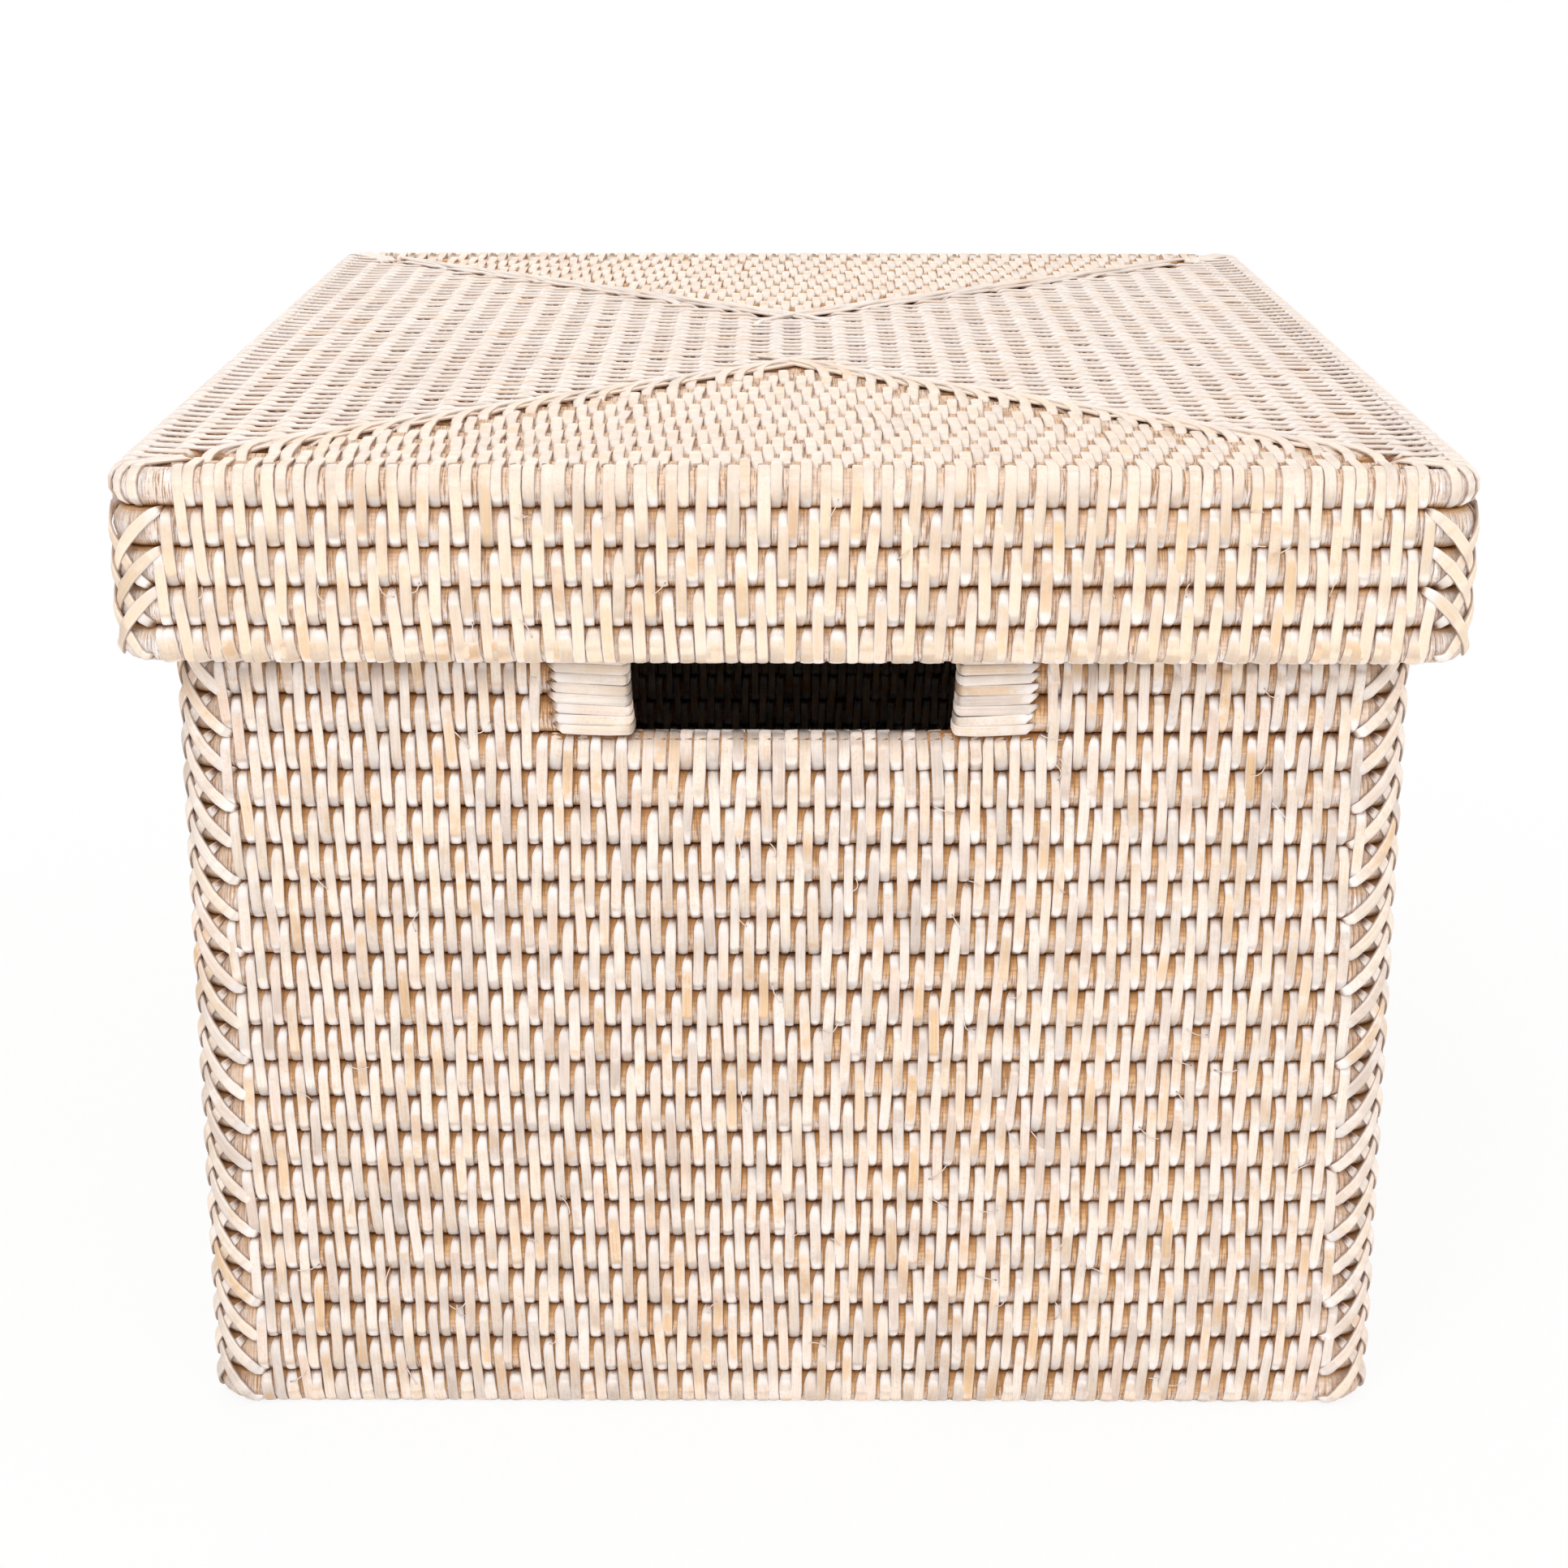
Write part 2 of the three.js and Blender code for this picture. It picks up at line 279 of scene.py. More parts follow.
def show(name, mesh, finish, body, slot, *nodes):
    """Shows a piece under its body and hides the nodes that it stands for; the slot of its finish is not used"""
    piece = new_piece(name, mesh, finish)
    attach(piece, body)
    if nodes:
        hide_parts(*nodes)


# Frames: each side of the box seen from outside, with u to the right, v up and w towards the eye


class Side:
    def __init__(self, origin, right, up):
        self.origin = np.array(origin, float)
        self.right = np.array(right, float)
        self.up = np.array(up, float)
        self.out = np.cross(self.right, self.up)

    def matrix(self, u, v, lean, width=1.0, lift=0.0):
        axes = np.stack((self.right, self.up, self.out), 1)
        c, s = math.cos(lean), math.sin(lean)
        turn = np.array(((c, -s, 0), (s, c, 0), (0, 0, 1)))
        result = np.eye(4)
        result[:3, :3] = axes @ turn @ np.diag((width, 1, 1))
        result[:3, 3] = self.origin + axes @ np.array((u, v, lift))
        return result


def wall_sides(half_x, half_y, inward=False):
    """The four walls by name, seen from outside or from inside"""
    turn = -1 if inward else 1
    up = (0, 0, 1)
    return {
        "front": Side((0, -half_y, 0), (turn, 0, 0), up),
        "right": Side((half_x, 0, 0), (0, turn, 0), up),
        "back": Side((0, half_y, 0), (-turn, 0, 0), up),
        "left": Side((-half_x, 0, 0), (0, -turn, 0), up),
    }


def panel_sides(half_x, half_y, height, under=False):
    """The four mitred parts of a flat panel by name, v running inwards from the edge"""
    turn = -1 if under else 1
    return {
        "front": Side((0, -half_y, height), (turn, 0, 0), (0, 1, 0)),
        "right": Side((half_x, 0, height), (0, turn, 0), (-1, 0, 0)),
        "back": Side((0, half_y, height), (-turn, 0, 0), (0, -1, 0)),
        "left": Side((-half_x, 0, height), (0, -turn, 0), (1, 0, 0)),
    }


# The strips' shapes on a wall


# Degrees from a rod's crest to where a strip goes in beside it
SEAT = 68
# Millimetres from a rod's centre to a strip's middle, beside the rod and on its crest
SEAT_REACH = 5.35
CREST = 4.87


def arc(centre, start, end, steps, reach=SEAT_REACH):
    """Stations of a strip round a rod, angles in degrees from the outward direction up"""
    stations = []
    for k in range(steps + 1):
        angle = math.radians(start + (end - start) * k / steps)
        across, out = math.sin(angle), math.cos(angle)
        stations.append((centre + reach * across, CREST * out, across, out))
    return stations


def shaped(stations, rng, tip_width=0.42, end_width=0.94, plain=False):
    """A strip through stations (v, w, normal v, normal w), in millimetres, with a hand-made unevenness"""
    width = sizes().strip_width
    thickness = sizes().strip_thickness
    count = len(stations)
    points, normals, widths, thicknesses = [], [], [], []
    bow = rng.uniform(-0.25, 0.25)
    waist = rng.uniform(-0.07, 0.05)
    tip_width += rng.uniform(-0.1, 0.12)
    reach = rng.uniform(0.26, 0.38)
    for k, (v, w, normal_v, normal_w) in enumerate(stations):
        share = k / (count - 1)
        tip = max(0.0, 1 - share / reach) ** 1.8
        end = max(0.0, (share - 0.86) / 0.14) ** 2
        narrowing = (1 - tip_width) * tip
        sway = bow * math.sin(math.pi * share) + narrowing * width / MM * 0.42 + rng.uniform(-0.05, 0.05)
        points.append(Vector((sway, v, w + rng.uniform(-0.04, 0.06))) * MM)
        normals.append((0.12 * tip, normal_v, normal_w))
        scale = 1 - narrowing - (1 - end_width) * end
        widths.append(width * scale * (1 + waist * math.sin(math.pi * share) + rng.uniform(-0.025, 0.025)))
        thicknesses.append(thickness * (1 - 0.2 * tip))
    return sweep(points, normals, widths, thicknesses, plain)


def pitch_mm(heights):
    return abs(heights[1] - heights[0]) / MM


def strip_ends(over, under):
    """Angle and reach of a strip's upper and lower end, in a groove or right round a rim"""
    seat = (SEAT, SEAT_REACH)
    return (*((135, 4.6) if over else seat), *((90, 4.55) if under else seat))


def long_strips(rng, pitch, count, plain=False, over=False, under=False, steps=4):
    """Strips over two rods; over and under say that they go right round a rim at the top or the bottom"""
    top, top_reach, bottom, bottom_reach = strip_ends(over, under)
    steps, near = (2, 10) if plain else (steps, 5)
    made = []
    for _ in range(count):
        middle = [(-pitch / 2, CREST + rng.uniform(-0.25, 0.05), 0, 1)] if steps == 4 else []
        stations = arc(0, top, near, steps, top_reach) + middle
        stations += arc(-pitch, -near, -bottom, steps, bottom_reach)
        made.append(shaped(stations, rng, 0.9 if over else 0.42, plain=plain))
    return made


def short_strips(rng, count, plain=False, over=False, under=False):
    """Strips round one rod only, for the rims and the sill"""
    top, top_reach, bottom, bottom_reach = strip_ends(over, under)
    steps = 2 if plain else 4
    made = []
    for _ in range(count):
        stations = arc(0, top, 4, steps, top_reach) + arc(0, -4, -bottom, steps, bottom_reach)
        made.append(shaped(stations, rng, 0.9 if over else 0.5, 1.0, plain=plain))
    return made


def pick(rng, strips):
    return strips[int(rng.integers(len(strips)))]


class Weaver:
    """Lays rows of strips on one side, each with its matrix and its tone"""

    def __init__(self, side, seed, spacing):
        self.side = side
        self.spacing = spacing
        self.rng = np.random.default_rng(seed)
        self.placed = []

    def put(self, strips, u, v, lean, width=1.0, span=None):
        """Lays one strip; span is how far below the first rod its last rod lies, if it may lie head down"""
        strip = pick(self.rng, strips)
        lift = self.rng.uniform(-0.04, 0.06) * MM
        head_down = self.rng.random() < (u / MM + 30) / 110
        if span is not None and head_down:
            v, lean = v - span, lean + math.pi
        self.placed.append((strip, self.side.matrix(u, v, lean, width, lift), float(self.rng.random())))

    def row(self, strips, v, reach, phase, skip=None, width=1.0, fan=0.05, span=None, inset=0.0):
        """A row from -reach, or inset from there, to reach; skip(u) leaves places free, fan leans strips out"""
        first = inset - reach
        start = phase + math.ceil((first - phase) / self.spacing) * self.spacing
        for k in range(max(int((reach - start) / self.spacing) + 1, 0)):
            u = start + k * self.spacing
            stray = noise.noise(Vector((u * 18, v * 40, 3.7)))
            at = u + 0.4 * MM * stray + self.rng.normal(0, 0.13) * MM
            if at < first or at > reach or (skip and skip(u)):
                continue
            slant = 0.05 * noise.noise(Vector((u * 9, v * 21, 8.1))) + self.rng.normal(0, 0.024)
            slant -= fan * u / reach
            self.put(strips, at, v, slant, width * self.rng.uniform(0.92, 1.06), span)

    def fill_beside(self, strips, v, reach, phase):
        """A strip close to each side of the hand-hole where the row leaves too wide a place"""
        for sign in (-1, 1):
            if (sign * phase - reach) % self.spacing > 3.4 * MM:
                self.put(strips, sign * (reach + 0.2 * MM), v, self.rng.normal(0, 0.03))

    def fibres(self, heights, reach, count, skip=None):
        """Loose fibres that stand out of the grooves"""
        strips = loose_fibres(self.rng)
        for _ in range(count):
            v = float(self.rng.choice(heights)) + self.rng.normal(0, 1.0) * MM
            u = self.rng.uniform(-reach, reach)
            if skip and skip(u, v):
                continue
            strip = pick(self.rng, strips)
            matrix = self.side.matrix(u, v, self.rng.uniform(-math.pi, math.pi))
            self.placed.append((strip, matrix, float(self.rng.random())))


def loose_fibres(rng):
    """Thin curved fibres, both ends in the weave"""
    made = []
    for _ in range(8):
        length, bow = rng.uniform(3, 7), rng.uniform(-1.6, 1.6)
        points = []
        for k in range(6):
            share = k / 5
            arch = math.sin(math.pi * share)
            points.append(Vector((bow * arch, (share - 0.5) * length, 4.6 + 1.5 * arch)) * MM)
        made.append(sweep(points, [(0, 0, 1)] * 6, [0.26 * MM] * 6, [0.18 * MM] * 6, plain=True))
    return made


# Node trees


class Net:
    """A node tree that is written as nested calls"""

    def __init__(self, tree):
        self.tree = tree

    def node(self, kind, inputs=None, output=0, **settings):
        made = self.tree.nodes.new(kind)
        for key, value in settings.items():
            setattr(made, key, value)
        for key, value in (inputs or {}).items():
            self.feed(made.inputs[key], value)
        return made.outputs[output]

    def feed(self, socket, value):
        if isinstance(value, bpy.types.NodeSocket):
            self.tree.links.new(value, socket)
        else:
            socket.default_value = value

    def math(self, operation, a, b=0.0, clamp=False):
        return self.node("ShaderNodeMath", {0: a, 1: b}, operation=operation, use_clamp=clamp)

    def times(self, first, *others):
        for other in others:
            first = self.math("MULTIPLY", first, other)
        return first

    def ramp(self, value, low, high, to_low=0.0, to_high=1.0):
        limits = {"From Min": low, "From Max": high, "To Min": to_low, "To Max": to_high}
        return self.node("ShaderNodeMapRange", {"Value": value, **limits}, interpolation_type="SMOOTHSTEP")

    def coat(self, under, over, *shares, blend="MIX"):
        """A colour laid over another, as thick as the product of the shares"""
        under, over = (c if isinstance(c, bpy.types.NodeSocket) else (*c[:3], 1) for c in (under, over))
        inputs = {0: self.times(*shares), 6: under, 7: over}
        return self.node("ShaderNodeMix", inputs, 2, data_type="RGBA", blend_type=blend)

    def noise(self, vector, scale, detail=3.0, roughness=0.55):
        inputs = {"Vector": vector, "Scale": scale, "Detail": detail, "Roughness": roughness}
        return self.node("ShaderNodeTexNoise", inputs)

    def axis(self, vector, name):
        return self.node("ShaderNodeSeparateXYZ", {0: vector}, name)

    def object_place(self):
        return self.node("ShaderNodeTexCoord", output="Object")

    def uv(self):
        return self.node("ShaderNodeUVMap", uv_map="UVMap")

    def attribute(self, name):
        return self.node("ShaderNodeAttribute", attribute_name=name, output="Fac")

    def group(self, tree, inputs, output=0):
        return self.node("ShaderNodeGroup", inputs, output, node_tree=tree)

    def finish(self, shader, colour, roughness, bump, specular):
        """Hands a finish's colour, roughness, bump and plain specular level to its shader"""
        parts = {"Base Color": colour, "Roughness": roughness, "Normal": bump, "Specular IOR Level": specular}
        for key, value in parts.items():
            self.feed(shader.inputs[key], value)


def new_group(name, inputs, outputs):
    """An empty shader node group with named sockets"""
    tree = bpy.data.node_groups.new(name, "ShaderNodeTree")
    for label, kind in inputs:
        tree.interface.new_socket(name=label, in_out="INPUT", socket_type=kind)
    for label, kind in outputs:
        tree.interface.new_socket(name=label, in_out="OUTPUT", socket_type=kind)
    return tree, tree.nodes.new("NodeGroupInput"), tree.nodes.new("NodeGroupOutput")


def grain_group():
    """Long fibres: a value that runs along the first axis and changes fast across the second"""
    name = "Long Grain"
    if name in bpy.data.node_groups:
        return bpy.data.node_groups[name]
    inputs = [("Vector", "NodeSocketVector"), ("Along", "NodeSocketFloat"), ("Across", "NodeSocketFloat")]
    tree, given, result = new_group(name, inputs, [("Grain", "NodeSocketFloat"), ("Fleck", "NodeSocketFloat")])
    net = Net(tree)
    vector, along, across = (given.outputs[label] for label, _ in inputs)
    stretch = net.node("ShaderNodeCombineXYZ", {"X": along, "Y": across, "Z": 1.0})
    vector = net.node("ShaderNodeVectorMath", {0: vector, 1: stretch}, operation="MULTIPLY")
    net.feed(result.inputs["Grain"], net.noise(vector, 1.0, 4.0, 0.6))
    net.feed(result.inputs["Fleck"], net.noise(vector, 3.1, 2.0, 0.5))
    return tree


def wash_group():
    """Where the white wash still lies, as a mask"""
    name = "White Wash"
    if name in bpy.data.node_groups:
        return bpy.data.node_groups[name]
    inputs = [("Vector", "NodeSocketVector"), ("Size", "NodeSocketFloat"), ("Cover", "NodeSocketFloat")]
    tree, given, result = new_group(name, inputs, [("Mask", "NodeSocketFloat")])
    net = Net(tree)
    vector, size, cover = (given.outputs[label] for label, _ in inputs)
    low = net.math("SUBTRACT", 0.82, cover)
    net.feed(result.inputs["Mask"], net.ramp(net.noise(vector, size, 5.0, 0.65), low, net.math("ADD", low, 0.22)))
    return tree


def new_finish(name):
    """A material with a Principled shader, and the net to write the rest of it"""
    finish = bpy.data.materials.new(name)
    finish.use_nodes = True
    tree = finish.node_tree
    shader = next(n for n in tree.nodes if n.type == "BSDF_PRINCIPLED")
    return finish, Net(tree), shader


def peel_finish():
    """Whitewashed peel: tinted strip by strip, white at both ends, worn to tan between them"""
    name = "Whitewashed Peel"
    if name in bpy.data.materials:
        return bpy.data.materials[name]
    finish, net, shader = new_finish(name)
    shade = colours()
    uv = net.uv()
    across, along = net.axis(uv, "X"), net.axis(uv, "Y")
    # Three numbers that differ from strip to strip
    tone = net.attribute("tone")
    other = net.math("FRACT", net.times(tone, 57.31))
    third = net.math("FRACT", net.times(tone, 311.7))
    # Masks for the lid's flat top and for its skirt, by height
    place = net.object_place()
    level = net.axis(place, "Z")
    flat_top = net.ramp(level, 0.25, 0.26)
    skirt = net.math("SUBTRACT", net.ramp(level, 0.205, 0.211), flat_top, True)
    spread = {
        "X": net.math("ADD", net.times(along, 0.03), net.times(tone, 7.7)),
        "Y": net.math("ADD", net.times(across, 0.0026), net.times(other, 3.1)),
        "Z": tone,
    }
    fibre = net.node("ShaderNodeCombineXYZ", spread)
    grain = net.group(grain_group(), {"Vector": fibre, "Along": 120.0, "Across": 2100.0})
    fleck = net.group(grain_group(), {"Vector": fibre, "Along": 260.0, "Across": 900.0}, 1)
    tinted = net.node("ShaderNodeValToRGB", {"Fac": tone})
    stops = {
        0.0: shade.peel_cream,
        0.2: shade.peel_pale,
        0.36: shade.peel_cream,
        0.5: shade.peel_pink,
        0.62: shade.peel_pale,
        0.8: shade.peel_grey,
        0.87: shade.peel_pink,
        0.93: shade.peel_cream,
        1.0: shade.peel_tan,
    }
    elements = tinted.node.color_ramp.elements
    while len(elements) < len(stops):
        elements.new(0.5)
    for element, (position, colour) in zip(elements, stops.items()):
        element.position = position
        element.color = (*colour, 1)
    fibres = net.ramp(grain, 0.3, 0.62, 0.88, 1.02)
    fibres = net.node("ShaderNodeCombineXYZ", {0: fibres, 1: fibres, 2: fibres})
    colour = net.coat(tinted, fibres, 1.0, blend="MULTIPLY")
    # Worn places between the ends, where the wash has gone
    worn = net.ramp(net.noise(fibre, 95.0, 3.0), 0.5, 0.66)
    middle = net.times(net.ramp(along, 0.14, 0.34), net.ramp(along, 0.96, 0.72))
    worn = net.times(worn, middle, net.ramp(other, 0.25, 0.9, 0.15, 0.8))
    colour = net.coat(colour, shade.peel_tan, worn, net.ramp(flat_top, 0, 1, 1, 0.5))
    rose = net.times(net.ramp(net.noise(fibre, 140.0, 3.0), 0.42, 0.56), middle)
    rose = net.times(rose, net.ramp(third, 0.9, 0.94, 0.0, 0.75))
    colour = net.coat(colour, shade.peel_rose, rose, net.ramp(skirt, 0, 1, 0.3, 1))
    # Grey and white patches that run over many strips
    colour = net.coat(colour, shade.peel_grey, net.ramp(net.noise(place, 11.0, 4.0, 0.6), 0.55, 0.74, 0.0, 0.4))
    mask = net.group(wash_group(), {"Vector": place, "Size": 150.0, "Cover": 0.34})
    mask = net.math("ADD", mask, net.times(flat_top, 0.45), True)
    colour = net.coat(colour, shade.wash, mask, 0.7)
    # Grey-brown patches on the lid's top, where hands have worn the wash
    worn_top = net.ramp(net.noise(place, 15.0, 5.0, 0.65), 0.5, 0.7, 0.0, 0.55)
    colour = net.coat(colour, shade.peel_grey, worn_top, flat_top)
    mottle = net.ramp(net.noise(place, 1100.0, 4.0, 0.7), 0.5, 0.68, 0.0, 0.5)
    colour = net.coat(colour, shade.rod_light, mottle, net.ramp(third, 0.0, 1.0, 0.3, 1.0))
    colour = net.coat(colour, shade.peel_warm, skirt, 0.4)
    # White where the strip bends round the rods; dirt and painted shade, brown, where it goes down between them
    seat = net.math("ADD", along, net.times(net.math("SUBTRACT", fleck, 0.5), 0.1))
    top = net.times(net.ramp(seat, 0.08, 0.16), net.ramp(seat, 0.4, 0.22))
    bottom = net.times(net.ramp(seat, 0.72, 0.82), net.ramp(seat, 0.99, 0.93))
    ends = net.math("MAXIMUM", top, bottom)
    colour = net.coat(colour, shade.wash, ends, net.ramp(third, 0.0, 0.6, 0.35, 0.95))
    # Dirt and painted shade at both ends of the strip, where it goes into a groove
    sunk_dirt_and_shade = net.math("MAXIMUM", net.ramp(seat, 0.16, 0.03, 0.0, 0.9), net.ramp(seat, 0.92, 1.0, 0.0, 0.6))
    colour = net.coat(colour, shade.dirt_and_shade, sunk_dirt_and_shade)
    # A pale band of wash along both edges, partly a painted highlight, with a painted shadow line outside it
    aside = net.math("ABSOLUTE", net.math("SUBTRACT", across, 0.5))
    colour = net.coat(colour, shade.wash, net.ramp(aside, 0.26, 0.42, 0.0, 0.4))
    # Painted shadow: a dark line along the strip's very edges, weaker on the lid's flat top
    outline = net.times(net.ramp(aside, 0.46, 0.5, 0.0, 0.5), net.ramp(flat_top, 0, 1, 1, 0.35))
    # Painted shade on the right side of the short sides' strips, as seen from the ends
    out = [net.math("ABSOLUTE", net.axis(place, axis)) for axis in "XY"]
    endwise = net.ramp(net.math("SUBTRACT", out[1], out[0]), APEX - 2 * MM, APEX + 2 * MM)
    short_side = net.times(flat_top, endwise)
    shaded = net.times(net.ramp(across, 0.92, 0.99, 0.0, 0.65), short_side)
    colour = net.coat(colour, shade.dirt_and_shade, net.math("MAXIMUM", outline, shaded))
    colour = net.coat(colour, shade.peel_warm, short_side, 0.22)
    height = net.math("ADD", net.times(grain, 0.7), net.times(fleck, 0.3))
    bump = net.node("ShaderNodeBump", {"Strength": 0.55, "Distance": 0.00025, "Height": height})
    net.finish(shader, colour, net.ramp(grain, 0.3, 0.7, 0.52, 0.7), bump, 0.35)
    return finish


# How much wash each kind of rod still has, and how dark the painted shade on its upper side is
ROD_COVER = {"body": 0.42, "skirt": 0.95, "edge": 1.0, "panel": 0.4}
ROD_SHADE = {"body": 0.7, "skirt": 0.2, "edge": 0.0, "panel": 0.65}


def rod_finish(kind):
    """Whitewashed core: fine lines across its grain, wash under the crest, painted shade on its upper side, and
    dirt with painted shade in the grooves
    """
    name = f"Whitewashed Rod {kind}"
    if name in bpy.data.materials:
        return bpy.data.materials[name]
    finish, net, shader = new_finish(name)
    shade = colours()
    cover = ROD_COVER[kind]
    uv, place = net.uv(), net.object_place()
    height, bend = net.attribute("height"), net.attribute("bend")
    groove = net.math("ABSOLUTE", height)
    grain = net.group(grain_group(), {"Vector": uv, "Along": 55.0, "Across": 1200.0})
    fine = net.group(grain_group(), {"Vector": uv, "Along": 150.0, "Across": 1900.0}, 1)
    cracks = net.group(grain_group(), {"Vector": uv, "Along": 2100.0, "Across": 140.0})
    colour = net.coat(shade.rod_dark, shade.rod_light, net.ramp(grain, 0.34, 0.6, 0.2, 1.0))
    # The wash lies thicker under the crest, where the brush left it
    mask = net.group(wash_group(), {"Vector": place, "Size": 210.0, "Cover": 0.36})
    mask = net.math("ADD", net.times(mask, 0.6), 0.35 + cover * 0.3, True)
    brushed = net.ramp(height, 0.3, -0.55, max(cover * 0.4, 0.6 * cover**3), min(1.0, cover * 1.1 + 0.4))
    brushed = net.math("ADD", brushed, net.times(bend, 0.75), True)
    colour = net.coat(colour, shade.wash, net.ramp(groove, 0.9, 0.55), brushed, mask)
    # Fine dark lines across the grain, in patches
    patch = net.ramp(net.noise(place, 90.0, 2.0), 0.34, 0.56, 0.35, 1.0)
    lines = net.times(net.ramp(cracks, 0.5, 0.6, 0.0, 0.8), patch)
    colour = net.coat(colour, tuple(0.5 * (a + b) for a, b in zip(shade.rod_dark, shade.dirt_and_shade)), lines)
    # Painted shade: the upper side of each rod is darkened where the row above shades it, less at the corners
    upper = net.ramp(height, 0.0, 0.75, 0.0, ROD_SHADE[kind])
    colour = net.coat(colour, shade.rod_dark, upper, net.ramp(bend, 0.0, 1.0, 1.0, 0.35))
    # Dirt and painted shade in the grooves between the rods, lighter on the skirt
    groove_dirt_and_shade = 0.75 if kind == "skirt" else 0.88
    colour = net.coat(colour, shade.dirt_and_shade, net.ramp(groove, 0.76, 0.98, 0.0, groove_dirt_and_shade))
    relief = net.math("ADD", net.times(grain, 0.4), net.times(fine, 0.2))
    relief = net.math("SUBTRACT", relief, net.times(lines, 0.6))
    bump = net.node("ShaderNodeBump", {"Strength": 0.7, "Distance": 0.0003, "Height": relief})
    net.finish(shader, colour, net.ramp(grain, 0.3, 0.7, 0.55, 0.75), bump, 0.3)
    return finish


# Rods


def rod_mesh(points, closed=False):
    """A round rod through points, its UV map in metres along and round it"""
    diameter = sizes().rod_diameter
    curve = bpy.data.curves.new("rod", "CURVE")
    curve.dimensions = "3D"
    curve.bevel_depth = diameter / 2
    curve.bevel_resolution = 4
    curve.use_fill_caps = True
    spline = curve.splines.new("POLY")
    spline.points.add(len(points) - 1)
    for point, place in zip(spline.points, points):
        point.co = (*place, 1)
    spline.use_cyclic_u = closed
    holder = bpy.data.objects.new("rod", curve)
    bpy.context.scene.collection.objects.link(holder)
    mesh = bpy.data.meshes.new_from_object(holder)
    bpy.data.objects.remove(holder)
    bpy.data.curves.remove(curve)
    run = points + points[:1] if closed else points
    run_length = sum((b - a).length for a, b in zip(run, run[1:]))
    layer = mesh.uv_layers[0]
    layer.name = "UVMap"
    values = np.zeros(len(layer.data) * 2, np.float32)
    layer.data.foreach_get("uv", values)
    values = values.reshape(-1, 2) * (run_length, math.pi * diameter)
    layer.data.foreach_set("uv", values.astype(np.float32).ravel())
    return mesh


def fit_rod(mesh, places, across, middle, pitch, above=True, below=True, bend=0.0):
    """Swells a rod towards its neighbours until they touch and writes where the grooves lie

    The height attribute runs from -1 in the groove below to 1 in the groove above, bend from 0 to 1
    at a corner."""
    diameter = sizes().rod_diameter
    off = (places @ across) - middle
    joined = np.where(off > 0, above, below)
    swell = np.where(joined, 1.06 * pitch / diameter, 1.0)
    moved = places + np.outer(off * (swell - 1), across)
    mesh.vertices.foreach_set("co", moved.astype(np.float32).ravel())
    write_values(mesh, "height", np.clip(off * 2 / diameter, -1, 1) * np.where(joined, 1.0, 0.6))
    write_values(mesh, "bend", np.broadcast_to(bend, len(places)))
    mesh.polygons.foreach_set("use_smooth", np.array([len(p.vertices) == 4 for p in mesh.polygons]))


def mesh_places(mesh):
    places = np.zeros(len(mesh.vertices) * 3, np.float32)
    mesh.vertices.foreach_get("co", places)
    return places.reshape(-1, 3)


def bent_outline(half_x, half_y, height, seed):
    """Points of a ring rod's middle line, anticlockwise from its front right corner, a little uneven"""
    bend, waviness = sizes().bend, sizes().waviness
    corners = []
    for x, y, first in ((1, -1, -90), (1, 1, 0), (-1, 1, 90), (-1, -1, 180)):
        corner = []
        for k in range(6):
            angle = math.radians(first + 90 * k / 5)
            place = (x * (half_x - bend) + bend * math.cos(angle), y * (half_y - bend) + bend * math.sin(angle))
            corner.append(place)
        corners.append(corner)
    outline = []
    steps = 20
    for corner, following in zip(corners, corners[1:] + corners[:1]):
        outline += corner
        for k in range(1, steps):
            outline.append(tuple(a + (b - a) * k / steps for a, b in zip(corner[-1], following[0])))
    points = []
    for x, y in outline:
        reach = math.hypot(x, y)
        stray = waviness * noise.noise(Vector((x * 22, y * 22, seed * 1.7)))
        rise = waviness * noise.noise(Vector((x * 22, y * 22, seed * 1.7 + 40)))
        points.append(Vector((x + x / reach * stray, y + y / reach * stray, height + rise)))
    return points


def make_ring(node, body, seed):
    """The rod of one course, in place of its node"""
    low, high = node_box(node)
    half = sizes().wall / 2
    height = centre_height(node)
    middle_x, middle_y = float(high[0]) - half, float(high[1]) - half
    sign = 1
    if node.endswith("left"):
        middle_x, sign = -float(low[0]) - half, -1
    points = bent_outline(middle_x, middle_y, height, seed)
    closed = node[-1].isdigit()
    if not closed:
        inner = [p for p in points if p.x * sign > CUT_END + 3 * MM]
        inner.sort(key=lambda p: math.atan2(p.y, p.x * sign))
        points = [Vector((sign * CUT_END, -middle_y, height)), *inner, Vector((sign * CUT_END, middle_y, height))]
    mesh = rod_mesh(points, closed)
    in_body = body == "box_body"
    heights = BODY_HEIGHTS if in_body else LID_HEIGHTS
    places = mesh_places(mesh)
    aside = np.abs(places)
    # A rim's outer side and the rods above and below the hand-holes don't swell
    beside_hole = (aside[:, 0] < CUT_END) & (aside[:, 1] > middle_y - half)
    top_rod, low_rod = height > max(heights) - MM, height < min(heights) + MM
    sill, lintel = (in_body and abs(height - h) < MM for h in (SILL_HEIGHT, LINTEL_HEIGHT))
    above, below = ~(top_rod | (beside_hole & sill)), ~(low_rod | (beside_hole & lintel))
    from_bend = np.minimum(aside[:, 0] - middle_x, aside[:, 1] - middle_y) + sizes().corner_reach
    bend = np.clip(from_bend / (4 * MM), 0, 1)
    pitch = abs(heights[1] - heights[0])
    fit_rod(mesh, places, np.array((0.0, 0.0, 1.0)), height, pitch, above, below, bend)
    kind = "body" if in_body else "edge" if top_rod else "skirt"
    show(node + "_rod", mesh, rod_finish(kind), body, "rod", node)


# Weaving of the walls


